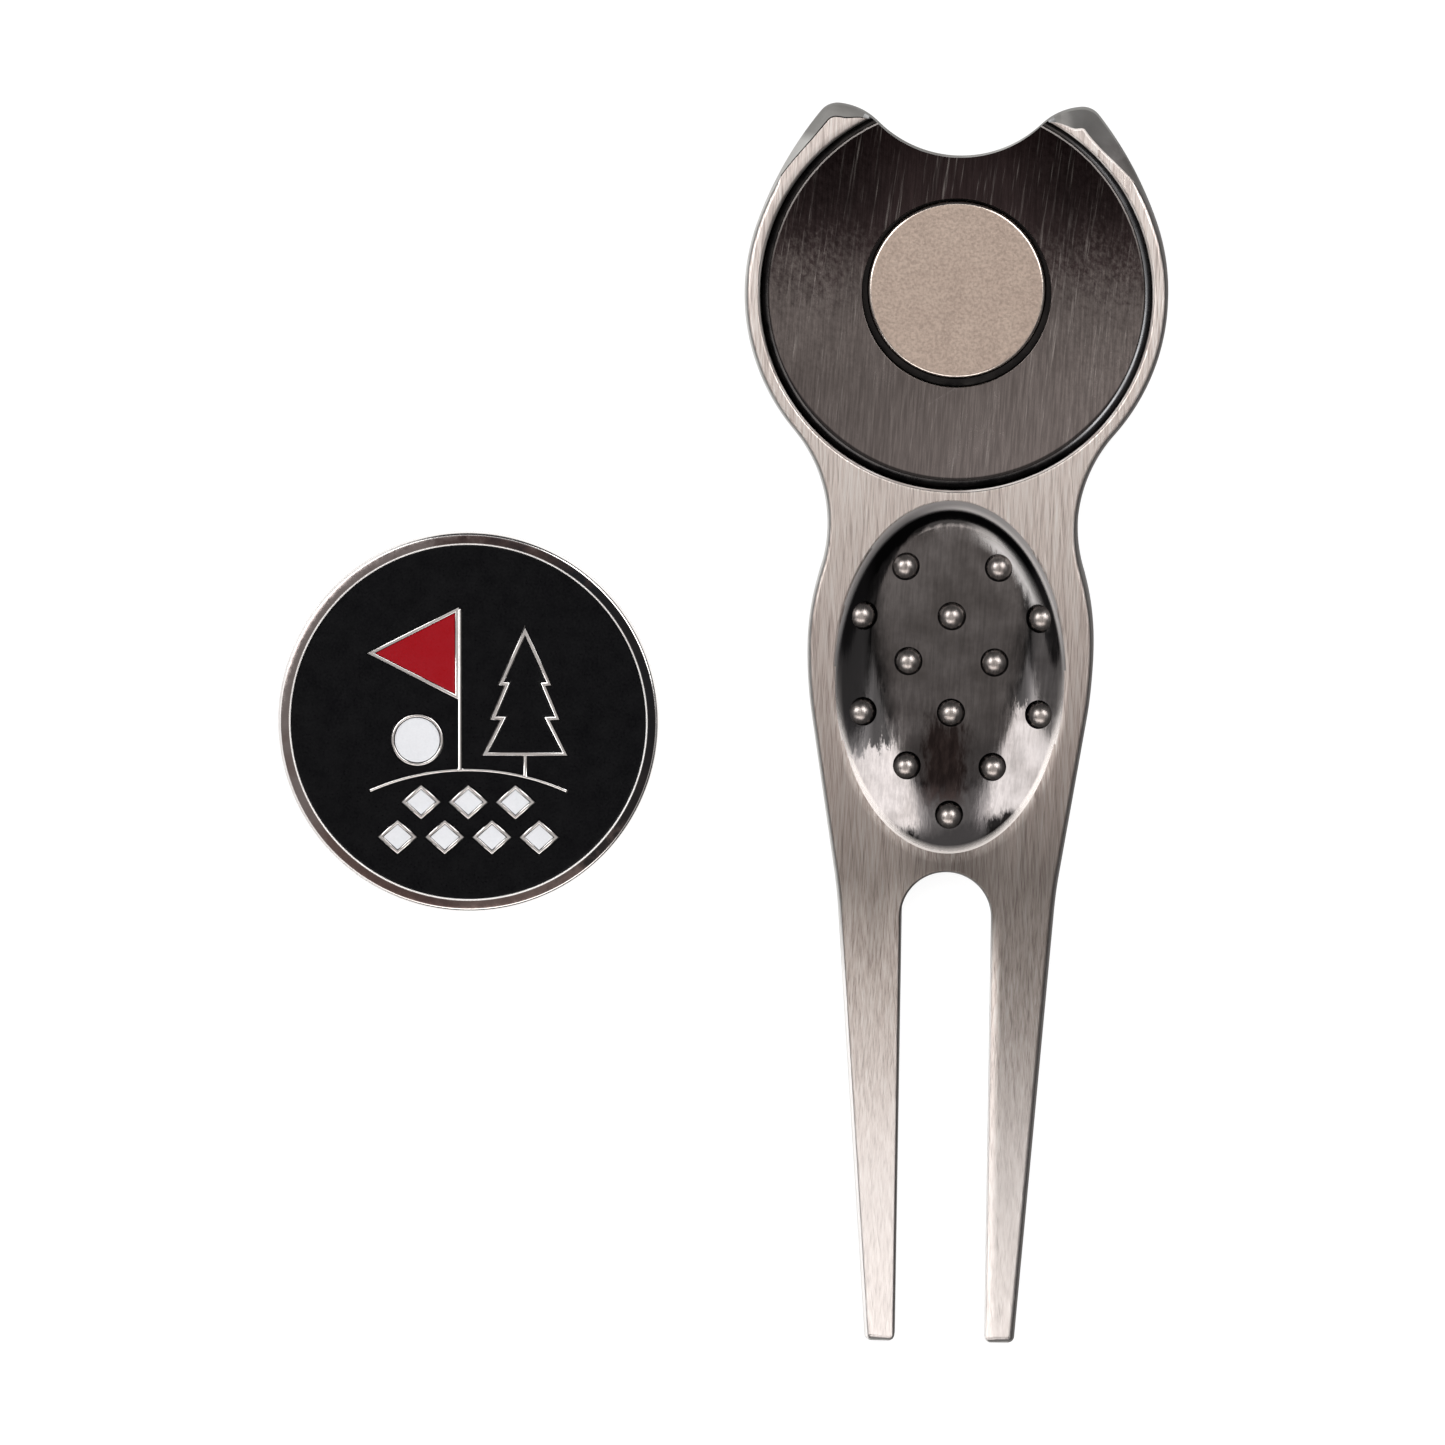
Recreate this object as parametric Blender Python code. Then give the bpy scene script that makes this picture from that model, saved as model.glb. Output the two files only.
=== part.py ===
"""A golf divot repair tool, with its magnetic ball marker lying beside it.

Sizes are in millimetres, and each mesh is scaled to metres as it is made. The tool lies on its back on the
plane z = 0. The recess for the marker is centred on the origin, the notch is towards +Y and the tines
point to -Y. The marker lies face up on the same plane and turns over into the recess.
"""

import math

import bpy
from mathutils import Vector

MM = 0.001

# Outline of the tool: its right half, mirrored to the left
NOTCH_RADIUS = 7.8
NOTCH_BOTTOM_Y = 9.0
HORN_X = 8.15
HORN_RADIUS = 1.4
HORN_CREST_RADIUS = 4.3
SHOULDER_RADIUS = 25.0
SHOULDER_FOOT_ANGLE = 20.0
HEAD_RADIUS = 14.05
WAIST_HALF_WIDTH = 8.3
WAIST_Y = -15.5
BELLY_HALF_WIDTH = 9.5
BELLY_Y = -23.5
LOWER_BELLY_RADIUS = 30.0
FLANK_ANGLE = 9.1
FORK_TOP_Y = -38.5
TINE_ANGLE = 4.33
TINE_BLEND_RADIUS = 30.0
SLOT_HALF_WIDTH = 3.0
TIP_Y = -70.3
TIP_CORNER_RADIUS = 0.45

# Thickness and edges of the tool
BODY_THICKNESS = 4.6
TIP_THICKNESS = 2.0
TAPER_POWER = 1.25
SIDE_EDGE_RADIUS = 0.42
INNER_EDGE_RADIUS = 0.2
HORN_EDGE_RADIUS = 0.08
BACK_EDGE_RADIUS = 0.3
EDGE_BLEND = 0.8
HORN_SHARPENING = 4.0
LEAST_MITRE = 0.3

# The facets on the horns: how far each cuts the top face back, and how far it reaches down the side
LEFT_HORN_FACET = 0.65
RIGHT_HORN_FACET = 1.25
LEFT_FACET_HEIGHT = 2.0
RIGHT_FACET_HEIGHT = 1.25
MOST_FACET_HEIGHT_SHARE = 0.5
HORN_FACET_START_Y = 6.2
HORN_FACET_FULL_Y = 11.6
HORN_FACET_START_X = 5.6
HORN_FACET_FULL_X = 7.6
NOTCH_SIDE_X = 6.5

# Recess for the marker, and the magnet in its floor
RECESS_RADIUS = 13.0
RECESS_FLOOR_Z = 2.7
RECESS_FILLET = 0.55
RECESS_EDGE_RADIUS = 0.28
POCKET_RADIUS = 6.28
POCKET_FLOOR_Z = 1.0
MAGNET_RADIUS = 5.95
MAGNET_EDGE_RADIUS = 0.3
MAGNET_OFFSET_Y = 0.2
MAGNET_TOP_Z = 2.64
MAGNET_BOTTOM_Z = 1.14
ADHESIVE_RADIUS = 5.6
ADHESIVE_THICKNESS = 0.08
SEAT_GAP = 0.03

# Thumb dish and its studs
DISH_CENTRE_Y = -25.8
DISH_HALF_WIDTH = 8.0
DISH_HALF_LENGTH = 12.25
DISH_DEPTH = 1.35
DISH_WALL_POWER = 3.2
DISH_TOP_WALL_POWER = 16.0
DISH_STEEPENING_POWER = 3.0
DISH_RIM_POWER = 1.8
STUD_RADIUS = 1.1
STUD_HEIGHT = 0.55
STUD_ROOT = 1.2
STUD_ROWS = (
    (-18.2, (-3.1, 3.15)),
    (-21.5, (-5.95, 0.05, 6.05)),
    (-24.55, (-2.8, 2.95)),
    (-27.95, (-5.9, 0.1, 6.1)),
    (-31.55, (-2.85, 3.0)),
    (-34.8, (0.1,)),
)

# Ball marker
MARKER_RADIUS = 12.7
MARKER_THICKNESS = 1.6
MARKER_EDGE_RADIUS = 0.22
RIM_WIDTH = 0.85
RIM_CROWN = 0.05
RIM_BEVEL_WIDTH = 0.12
RIM_BEVEL_DROP = 0.04
CELL_FLOOR_Z = 1.3
LINE_ROOT = 0.2
ENAMEL_TOP_Z = 1.53
LINE_WIDTH = 0.27
ENAMEL_GAP = 0.03
MARKER_CENTRE = (-32.1, -29.32)
MARKER_TURN = 0.9
PENNANT_CORNERS = ((-0.88, 7.3), (-6.2, 4.6), (-0.88, 1.9))
TREE_CENTRE_X = 3.8
TREE_TIERS = ((-2.0, 2.45), (0.4, 1.95), (2.7, 1.4))
TREE_TOP_Y = 5.8
TIER_SHOULDER_SHARE = 0.5
BALL_CENTRE = (-3.4, -1.2)
BALL_RADIUS = 1.5
FLAGSTICK_X = -0.55
FLAGSTICK_TOP_Y = 7.6
MOUND_TOP_Y = -3.2
MOUND_HALF_WIDTH = 6.6
MOUND_RADIUS = 16.0
DIAMOND_ROWS = ((-5.35, 3), (-7.7, 4))
DIAMOND_PITCH = 3.15
DIAMOND_HALF_WIDTH = 0.95
DIAMOND_HALF_HEIGHT = 0.85

# How finely curves are divided
ROUND_STEPS = 80
SMALL_ROUND_STEPS = 48
STUD_STEPS = 14
BALL_STEPS = 24
ARCH_STEPS = 7
TINE_STEPS = 7
DISH_SHARES = (0.15, 0.34, 0.5, 0.63, 0.74, 0.83, 0.9, 0.95, 0.985, 1.0)
STUD_LATITUDES = (25, 48, 68, 82)

# How far a helper stands off the face it cuts, and how far it reaches past the piece
CUT_LIFT = 0.01
CUT_REACH = 1.0


def clear_scene():
    for thing in list(bpy.data.objects):
        bpy.data.objects.remove(thing, do_unlink=True)


def make_material(name, colour, roughness, metallic):
    material = bpy.data.materials.new(name)
    material.use_nodes = True
    shader = material.node_tree.nodes["Principled BSDF"]
    shader.inputs["Base Color"].default_value = (*colour, 1.0)
    shader.inputs["Roughness"].default_value = roughness
    shader.inputs["Metallic"].default_value = metallic
    return material


def make_solid(name, points, faces, material=None):
    """An object from points in millimetres. A helper has no material and stays out of a render."""
    mesh = bpy.data.meshes.new(name)
    mesh.from_pydata([Vector(p) * MM for p in points], [], faces)
    mesh.validate()
    mesh.shade_smooth()
    mesh.set_sharp_from_angle(angle=math.radians(35))
    thing = bpy.data.objects.new(name, mesh)
    bpy.context.scene.collection.objects.link(thing)
    if material:
        mesh.materials.append(material)
    else:
        thing.hide_render = True
        thing.display_type = "WIRE"
    return thing


def make_empty(name, location, turn=0.0):
    empty = bpy.data.objects.new(name, None)
    empty.location = Vector(location) * MM
    empty.rotation_euler.z = math.radians(turn)
    empty.empty_display_size = 0.005
    bpy.context.scene.collection.objects.link(empty)
    return empty


def combine(thing, other, operation):
    """Cuts or adds a helper, which is placed relative to the piece that it shapes."""
    other.parent = thing
    modifier = thing.modifiers.new(f"{operation.lower()}_{other.name}", "BOOLEAN")
    modifier.operation = operation
    modifier.solver = "EXACT"
    modifier.object = other


def arc(centre, radius, start, end, steps):
    """Points on an arc from one angle to the other, in degrees, both ends included."""
    angles = [math.radians(start + (end - start) * i / steps) for i in range(steps + 1)]
    return [(centre[0] + radius * math.cos(a), centre[1] + radius * math.sin(a)) for a in angles]


def line(start, end, steps):
    """Points after the start of a line, up to and including its end."""
    return [
        (start[0] + (end[0] - start[0]) * i / steps, start[1] + (end[1] - start[1]) * i / steps)
        for i in range(1, steps + 1)
    ]


def direction(start, end):
    return math.degrees(math.atan2(end[1] - start[1], end[0] - start[0]))


def meet(centre_a, radius_a, centre_b, radius_b):
    """The lower of the two points where two circles cross."""
    a, b = Vector(centre_a), Vector(centre_b)
    gap = (b - a).length
    along = (gap**2 + radius_a**2 - radius_b**2) / (2 * gap)
    across = math.sqrt(radius_a**2 - along**2)
    unit = (b - a) / gap
    foot = a + unit * along
    side = Vector((-unit.y, unit.x)) * across
    return min((foot + side, foot - side), key=lambda p: p.y)


def upper_outline():
    """The right side from the middle of the notch, round the head, neck and belly, to the fork's top."""
    notch = (0.0, NOTCH_BOTTOM_Y + NOTCH_RADIUS)
    foot_angle = math.radians(SHOULDER_FOOT_ANGLE)
    reach = HEAD_RADIUS - SHOULDER_RADIUS
    shoulder = (reach * math.cos(foot_angle), reach * math.sin(foot_angle))
    horn_y = shoulder[1] + math.sqrt((SHOULDER_RADIUS - HORN_RADIUS) ** 2 - (HORN_X - shoulder[0]) ** 2)
    horn = (HORN_X, horn_y)
    crest = meet(notch, NOTCH_RADIUS + HORN_CREST_RADIUS, horn, HORN_CREST_RADIUS - HORN_RADIUS)
    head = (0.0, 0.0)
    neck_radius = (WAIST_HALF_WIDTH**2 + WAIST_Y**2 - HEAD_RADIUS**2) / (
        2 * (HEAD_RADIUS - WAIST_HALF_WIDTH)
    )
    neck = (WAIST_HALF_WIDTH + neck_radius, WAIST_Y)
    inward = neck[0] - BELLY_HALF_WIDTH
    belly_radius = (inward**2 + (WAIST_Y - BELLY_Y) ** 2 - neck_radius**2) / (
        2 * (BELLY_HALF_WIDTH - WAIST_HALF_WIDTH)
    )
    belly = (BELLY_HALF_WIDTH - belly_radius, BELLY_Y)
    lower_belly = (BELLY_HALF_WIDTH - LOWER_BELLY_RADIUS, BELLY_Y)
    notch_to_crest = direction(notch, crest)
    crest_to_horn = direction(crest, horn)
    shoulder_to_horn = direction(shoulder, horn)
    head_to_neck = direction(head, neck)
    belly_to_neck = direction(belly, neck)
    points = arc(notch, NOTCH_RADIUS, -90, notch_to_crest, 9)
    points += arc(crest, HORN_CREST_RADIUS, notch_to_crest + 180, crest_to_horn, 5)[1:]
    points += arc(horn, HORN_RADIUS, crest_to_horn, shoulder_to_horn, 6)[1:]
    points += arc(shoulder, SHOULDER_RADIUS, shoulder_to_horn, SHOULDER_FOOT_ANGLE, 7)[1:]
    points += arc(head, HEAD_RADIUS, SHOULDER_FOOT_ANGLE, 0, 3)[1:]
    points += arc(head, HEAD_RADIUS, 0, head_to_neck, 9)[1:]
    points += arc(neck, neck_radius, head_to_neck + 180, belly_to_neck + 180, 9)[1:]
    points += arc(belly, belly_radius, belly_to_neck, 0, 4)[1:]
    points += arc(lower_belly, LOWER_BELLY_RADIUS, 0, -FLANK_ANGLE, 3)[1:]
    x, y = points[-1]
    drop = FORK_TOP_Y - y
    return points + [(x + drop * math.tan(math.radians(FLANK_ANGLE)), FORK_TOP_Y)]


def outer_fork(start):
    """The outer side of the right tine, after the fork's top, down to its tip's rounded corner."""
    normal = Vector((math.cos(math.radians(FLANK_ANGLE)), -math.sin(math.radians(FLANK_ANGLE))))
    centre = Vector(start) + normal * TINE_BLEND_RADIUS
    points = arc(centre, TINE_BLEND_RADIUS, 180 - FLANK_ANGLE, 180 - TINE_ANGLE, ARCH_STEPS)[1:]
    x, y = points[-1]
    slope = math.tan(math.radians(TINE_ANGLE))
    end_y = TIP_Y + TIP_CORNER_RADIUS * (1 - math.sin(math.radians(TINE_ANGLE)))
    return points + line((x, y), (x + (end_y - y) * slope, end_y), TINE_STEPS)


def tip(start):
    """The tine's end, between the last points of its outer and inner sides."""
    centre_y = TIP_Y + TIP_CORNER_RADIUS
    outer_x = start[0] - TIP_CORNER_RADIUS * math.cos(math.radians(TINE_ANGLE))
    inner_x = SLOT_HALF_WIDTH + TIP_CORNER_RADIUS
    points = arc((outer_x, centre_y), TIP_CORNER_RADIUS, -TINE_ANGLE, -90, 4)[1:]
    return points + arc((inner_x, centre_y), TIP_CORNER_RADIUS, -90, -180, 4)[:-1]


def inner_fork():
    """The slot's right side from the tine's tip up to the middle of the arch."""
    arch_y = FORK_TOP_Y - SLOT_HALF_WIDTH
    foot = (SLOT_HALF_WIDTH, TIP_Y + TIP_CORNER_RADIUS)
    points = [foot] + line(foot, (SLOT_HALF_WIDTH, arch_y), TINE_STEPS)
    return points + arc((0.0, arch_y), SLOT_HALF_WIDTH, 0, 90, ARCH_STEPS)[1:]


def smooth_step(value):
    value = min(max(value, 0.0), 1.0)
    return value * value * (3 - 2 * value)


def thickness(y):
    share = max(0.0, (FORK_TOP_Y - y) / (FORK_TOP_Y - TIP_Y))
    return BODY_THICKNESS - (BODY_THICKNESS - TIP_THICKNESS) * share**TAPER_POWER


def horn_share(x, y):
    """From 0 at the shoulder and in the notch to 1 on the horn."""
    rise = smooth_step((y - HORN_FACET_START_Y) / (HORN_FACET_FULL_Y - HORN_FACET_START_Y))
    across = smooth_step((abs(x) - HORN_FACET_START_X) / (HORN_FACET_FULL_X - HORN_FACET_START_X))
    return rise * across


def horn_facet(x, y):
    """How far the horn's facet cuts the top face back."""
    return horn_share(x, y) * (LEFT_HORN_FACET if x < 0 else RIGHT_HORN_FACET)


def facet_height(x, y):
    """How far the top edge's rounding and facet reach down the side."""
    horn_height = LEFT_FACET_HEIGHT if x < 0 else RIGHT_FACET_HEIGHT
    return min(horn_height, thickness(y) * MOST_FACET_HEIGHT_SHARE)


def edge_radius(x, y):
    """The rounding of the edges: small in the slot and the notch, and nearly sharp on the horns."""
    if y < FORK_TOP_Y:
        share = smooth_step((abs(x) - SLOT_HALF_WIDTH) / EDGE_BLEND)
        return INNER_EDGE_RADIUS + (SIDE_EDGE_RADIUS - INNER_EDGE_RADIUS) * share
    in_notch = y >= NOTCH_BOTTOM_Y and abs(x) < NOTCH_SIDE_X
    plain = INNER_EDGE_RADIUS if in_notch or abs(x) < SLOT_HALF_WIDTH else SIDE_EDGE_RADIUS
    return plain + (HORN_EDGE_RADIUS - plain) * smooth_step(horn_share(x, y) * HORN_SHARPENING)


def outward_normals(outline):
    """The outward normal at each point of an outline that runs clockwise, longer at a corner."""
    normals = []
    for i, point in enumerate(outline):
        before = (Vector(point) - Vector(outline[i - 1])).normalized()
        after = (Vector(outline[(i + 1) % len(outline)]) - Vector(point)).normalized()
        mean = Vector((-before.y - after.y, before.x + after.x)).normalized()
        normals.append(mean / max(LEAST_MITRE, mean.dot(Vector((-after.y, after.x)))))
    return normals


def casting_rings(outline):
    """Rings of points from the back face, up the rounded sides, to the top face."""
    normals = outward_normals(outline)
    rings = []

    def add_ring(place):
        ring = []
        for (x, y), normal in zip(outline, normals):
            inset, z = place(x, y)
            ring.append((x - normal.x * inset, y - normal.y * inset, z))
        rings.append(ring)

    def back_edge(angle):
        def place(x, y):
            radius = min(BACK_EDGE_RADIUS, edge_radius(x, y))
            return radius * (1 - math.sin(angle)), radius * (1 - math.cos(angle))

        return place

    def side_foot(x, y):
        return 0.0, thickness(y) - facet_height(x, y)

    def top_edge(angle):
        def place(x, y):
            radius = edge_radius(x, y)
            drop = radius * (1 - math.sin(angle))
            share = 1 - drop / facet_height(x, y)
            return horn_facet(x, y) * share + radius * (1 - math.cos(angle)), thickness(y) - drop

        return place

    for degrees in (0, 45, 90):
        add_ring(back_edge(math.radians(degrees)))
    add_ring(side_foot)
    for degrees in (0, 30, 60, 90):
        add_ring(top_edge(math.radians(degrees)))
    return rings


def make_casting_blank(material):
    """The tool before its recess, pocket, dish and studs."""
    upper = upper_outline()
    outer = outer_fork(upper[-1])
    end = tip(outer[-1])
    inner = inner_fork()
    right = upper + outer + end + inner
    left = [(-x, y) for x, y in reversed(right[1:-1])]
    outline = right + left
    count = len(outline)
    rings = casting_rings(outline)
    points = [point for ring in rings for point in ring]
    faces = [tuple(range(count))]
    for k in range(len(rings) - 1):
        for i in range(count):
            j = (i + 1) % count
            faces.append((k * count + j, k * count + i, (k + 1) * count + i, (k + 1) * count + j))
    faces += top_faces(len(upper), len(outer), len(end), count, (len(rings) - 1) * count)
    return make_solid("tool_body", points, faces, material)


def top_faces(upper, outer, end, count, first):
    """The top face: one flat face for head and belly, strips along each tine, and a face at each tip."""
    fork, arch = upper - 1, upper + 2 * outer + end
    right, left = {}, {}
    for i in range(arch + 1):
        right[i], left[i] = first + i, first + (count - i) % count
    body = [right[i] for i in range(fork, -1, -1)] + [left[i] for i in range(1, fork + 1)]
    faces = [tuple(body + [right[arch]])]
    for side, turned in ((right, False), (left, True)):
        strips = [
            (side[fork + k], side[arch - k], side[arch - k - 1], side[fork + k + 1]) for k in range(outer)
        ]
        strips.append(tuple([side[fork + outer]] + [side[arch - outer - k] for k in range(end + 1)]))
        faces += [tuple(reversed(face)) for face in strips] if turned else strips
    return faces


def lathe(name, profile, steps, material=None):
    """A solid of revolution about Z from (radius, z) points that run from its foot to its top."""
    points = [
        (r * math.cos(2 * math.pi * i / steps), r * math.sin(2 * math.pi * i / steps), z)
        for r, z in profile
        for i in range(steps)
    ]
    return make_solid(name, points, ring_faces(len(profile), steps), material)


def ring_faces(rings, count):
    """Faces of a closed solid whose points are rings that run anticlockwise, foot first."""
    faces = [tuple(range(count - 1, -1, -1))]
    for k in range(rings - 1):
        for i in range(count):
            j = (i + 1) % count
            faces.append((k * count + i, k * count + j, (k + 1) * count + j, (k + 1) * count + i))
    faces.append(tuple((rings - 1) * count + i for i in range(count)))
    return faces


def make_recess_cutter():
    edge = RECESS_EDGE_RADIUS
    fillet = arc((RECESS_RADIUS - RECESS_FILLET, RECESS_FLOOR_Z + RECESS_FILLET), RECESS_FILLET, -90, 0, 4)
    rim = arc((RECESS_RADIUS + edge, BODY_THICKNESS - edge + CUT_LIFT), edge, 180, 90, 3)
    mouth = (RECESS_RADIUS + edge, BODY_THICKNESS + CUT_REACH)
    return lathe("recess_cutter", fillet + rim + [mouth], ROUND_STEPS)


def make_pocket_cutter():
    profile = [(POCKET_RADIUS, POCKET_FLOOR_Z), (POCKET_RADIUS, RECESS_FLOOR_Z + CUT_REACH)]
    return lathe("pocket_cutter", profile, SMALL_ROUND_STEPS)


def dish_drop(share, rise):
    """Depth of the dish at a share of the way from its middle to its rim.

    Its wall is steepest at the head's end. The rise is the sine of the direction from the middle: 1 towards
    the head and -1 towards the tines.
    """
    steepening = ((1 + rise) / 2) ** DISH_STEEPENING_POWER
    power = DISH_WALL_POWER + (DISH_TOP_WALL_POWER - DISH_WALL_POWER) * steepening
    return DISH_DEPTH * (1 - share**power) ** DISH_RIM_POWER


def make_dish_cutter():
    rings = [(share, CUT_LIFT) for share in DISH_SHARES] + [(1.0, CUT_REACH)]
    points = []
    for share, lift in rings:
        for i in range(SMALL_ROUND_STEPS):
            turn = 2 * math.pi * i / SMALL_ROUND_STEPS
            x = DISH_HALF_WIDTH * share * math.cos(turn)
            y = DISH_CENTRE_Y + DISH_HALF_LENGTH * share * math.sin(turn)
            points.append((x, y, BODY_THICKNESS + lift - dish_drop(share, math.sin(turn))))
    return make_solid("dish_cutter", points, ring_faces(len(rings), SMALL_ROUND_STEPS))


def make_studs():
    """All the domed studs as one helper. A dome that would stand above the top face is ground flush."""
    points, faces = [], []
    for y, row in STUD_ROWS:
        for x in row:
            along = (y - DISH_CENTRE_Y) / DISH_HALF_LENGTH
            share = math.hypot(x / DISH_HALF_WIDTH, along)
            floor = BODY_THICKNESS - dish_drop(share, along / share)
            centre = floor + STUD_HEIGHT - STUD_RADIUS
            rings = [(STUD_RADIUS, floor - STUD_ROOT), (STUD_RADIUS, centre)]
            for degrees in STUD_LATITUDES:
                z = centre + STUD_RADIUS * math.sin(math.radians(degrees))
                if z < BODY_THICKNESS:
                    rings.append((STUD_RADIUS * math.cos(math.radians(degrees)), z))
            start = len(points)
            for radius, z in rings:
                for i in range(STUD_STEPS):
                    turn = 2 * math.pi * i / STUD_STEPS
                    points.append((x + radius * math.cos(turn), y + radius * math.sin(turn), z))
            faces += [tuple(start + i for i in face) for face in ring_faces(len(rings), STUD_STEPS)]
    return make_solid("studs", points, faces)


def make_tool(plated, magnet_plating, adhesive):
    body = make_casting_blank(plated)
    combine(body, make_recess_cutter(), "DIFFERENCE")
    combine(body, make_pocket_cutter(), "DIFFERENCE")
    combine(body, make_dish_cutter(), "DIFFERENCE")
    combine(body, make_studs(), "UNION")
    edge = MAGNET_EDGE_RADIUS
    inner = MAGNET_RADIUS - edge
    profile = arc((inner, MAGNET_BOTTOM_Z + edge), edge, -90, 0, 3)
    profile += arc((inner, MAGNET_TOP_Z - edge), edge, 0, 90, 4)
    magnet = lathe("magnet", profile, SMALL_ROUND_STEPS, magnet_plating)
    magnet.location.y = MAGNET_OFFSET_Y * MM
    foot = POCKET_FLOOR_Z + SEAT_GAP
    film = [(ADHESIVE_RADIUS, foot), (ADHESIVE_RADIUS, foot + ADHESIVE_THICKNESS)]
    lathe("magnet_adhesive", film, SMALL_ROUND_STEPS, adhesive)


def grow(corners, distance):
    """A convex or notched outline, anticlockwise, moved outwards by a distance, with sharp corners."""
    grown = []
    for i, corner in enumerate(corners):
        point = Vector(corner)
        before = (point - Vector(corners[i - 1])).normalized()
        after = (Vector(corners[(i + 1) % len(corners)]) - point).normalized()
        normal_a, normal_b = Vector((before.y, -before.x)), Vector((after.y, -after.x))
        mean = (normal_a + normal_b).normalized()
        grown.append(tuple(point + mean * distance / max(LEAST_MITRE, mean.dot(normal_b))))
    return grown


def tree_outline():
    """A fir of three tiers, anticlockwise from the foot's right corner."""
    right = []
    for tier, (foot, half_width) in enumerate(TREE_TIERS):
        if tier:
            right.append((TREE_TIERS[tier - 1][1] * TIER_SHOULDER_SHARE, foot))
        right.append((half_width, foot))
    left = [(-x, y) for x, y in reversed(right)]
    return [(x + TREE_CENTRE_X, y) for x, y in right + [(0.0, TREE_TOP_Y)] + left]


def ball_outline():
    return arc(BALL_CENTRE, BALL_RADIUS, 0, 360, BALL_STEPS)[1:]


def diamond_outlines():
    outlines = []
    for y, number in DIAMOND_ROWS:
        for i in range(number):
            x = (i - (number - 1) / 2) * DIAMOND_PITCH
            outlines.append(
                [
                    (x + DIAMOND_HALF_WIDTH, y),
                    (x, y + DIAMOND_HALF_HEIGHT),
                    (x - DIAMOND_HALF_WIDTH, y),
                    (x, y - DIAMOND_HALF_HEIGHT),
                ]
            )
    return outlines


def post_outline(x, top):
    """An upright line from the mound to the given height."""
    left, right = x - LINE_WIDTH / 2, x + LINE_WIDTH / 2
    foot = MOUND_TOP_Y - MOUND_RADIUS + math.sqrt(MOUND_RADIUS**2 - x**2) - LINE_WIDTH / 4
    return [(left, foot), (right, foot), (right, top), (left, top)]


def mound_outline():
    half_angle = math.degrees(math.asin(MOUND_HALF_WIDTH / MOUND_RADIUS))
    centre = (0.0, MOUND_TOP_Y - MOUND_RADIUS)
    half = LINE_WIDTH / 2
    outer = arc(centre, MOUND_RADIUS + half, 90 - half_angle, 90 + half_angle, 14)
    inner = arc(centre, MOUND_RADIUS - half, 90 + half_angle, 90 - half_angle, 14)
    return outer + inner


def cell_outlines():
    """The outline of each coloured cell, by name."""
    cells = {"pennant": PENNANT_CORNERS, "tree": tree_outline(), "ball": ball_outline()}
    for number, outline in enumerate(diamond_outlines(), 1):
        cells[f"diamond_{number}"] = outline
    return cells


def prisms(name, outlines, foot, top, material=None):
    """Separate prisms in one object, one for each anticlockwise outline."""
    points, faces = [], []
    for outline in outlines:
        start = len(points)
        points += [(x, y, z) for z in (foot, top) for x, y in outline]
        faces += [tuple(start + i for i in face) for face in ring_faces(2, len(outline))]
    return make_solid(name, points, faces, material)


def raised_lines():
    """The outlines of the lines raised on the field, by helper name."""
    flagstick = post_outline(FLAGSTICK_X, FLAGSTICK_TOP_Y)
    trunk = post_outline(TREE_CENTRE_X, TREE_TIERS[0][0])
    return {
        "cell_lines": [grow(outline, LINE_WIDTH) for outline in cell_outlines().values()],
        "post_lines": [flagstick, trunk],
        "mound_line": [mound_outline()],
    }


def make_marker_blank(steel):
    """The struck disc: a field inside its rim, raised lines on the field and a hollow in each cell."""
    edge = MARKER_EDGE_RADIUS
    field = MARKER_RADIUS - RIM_WIDTH
    profile = arc((MARKER_RADIUS - edge, edge), edge, -90, 0, 3)
    profile += arc((MARKER_RADIUS - edge, MARKER_THICKNESS - RIM_CROWN - edge), edge, 0, 90, 4)
    profile.append((field + RIM_BEVEL_WIDTH, MARKER_THICKNESS))
    profile.append((field + CUT_LIFT, MARKER_THICKNESS - RIM_BEVEL_DROP))
    profile.append((field, CELL_FLOOR_Z))
    blank = lathe("marker_blank", profile, ROUND_STEPS, steel)
    foot, top = CELL_FLOOR_Z - LINE_ROOT, MARKER_THICKNESS - CUT_LIFT
    for name, outlines in raised_lines().items():
        combine(blank, prisms(name, outlines, foot, top), "UNION")
    cells = prisms("cells", cell_outlines().values(), CELL_FLOOR_Z, top + CUT_REACH)
    combine(blank, cells, "DIFFERENCE")
    return blank


def make_enamel(black, red, white):
    """Enamel in each cell, and the black field around the raised lines."""
    foot = CELL_FLOOR_Z + SEAT_GAP
    pieces = []
    for name, outline in cell_outlines().items():
        fill = {"pennant": red, "tree": black}.get(name, white)
        outline = grow(outline, -ENAMEL_GAP)
        pieces.append(prisms(f"enamel_{name}", [outline], foot, ENAMEL_TOP_Z, fill))
    radius = MARKER_RADIUS - RIM_WIDTH - ENAMEL_GAP
    field = lathe("enamel_field", [(radius, foot), (radius, ENAMEL_TOP_Z)], ROUND_STEPS, black)
    for name, outlines in raised_lines().items():
        grown = [grow(outline, ENAMEL_GAP) for outline in outlines]
        clearance = prisms(f"{name}_clearance", grown, foot - CUT_REACH, ENAMEL_TOP_Z + CUT_REACH)
        combine(field, clearance, "DIFFERENCE")
    return pieces + [field]


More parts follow.
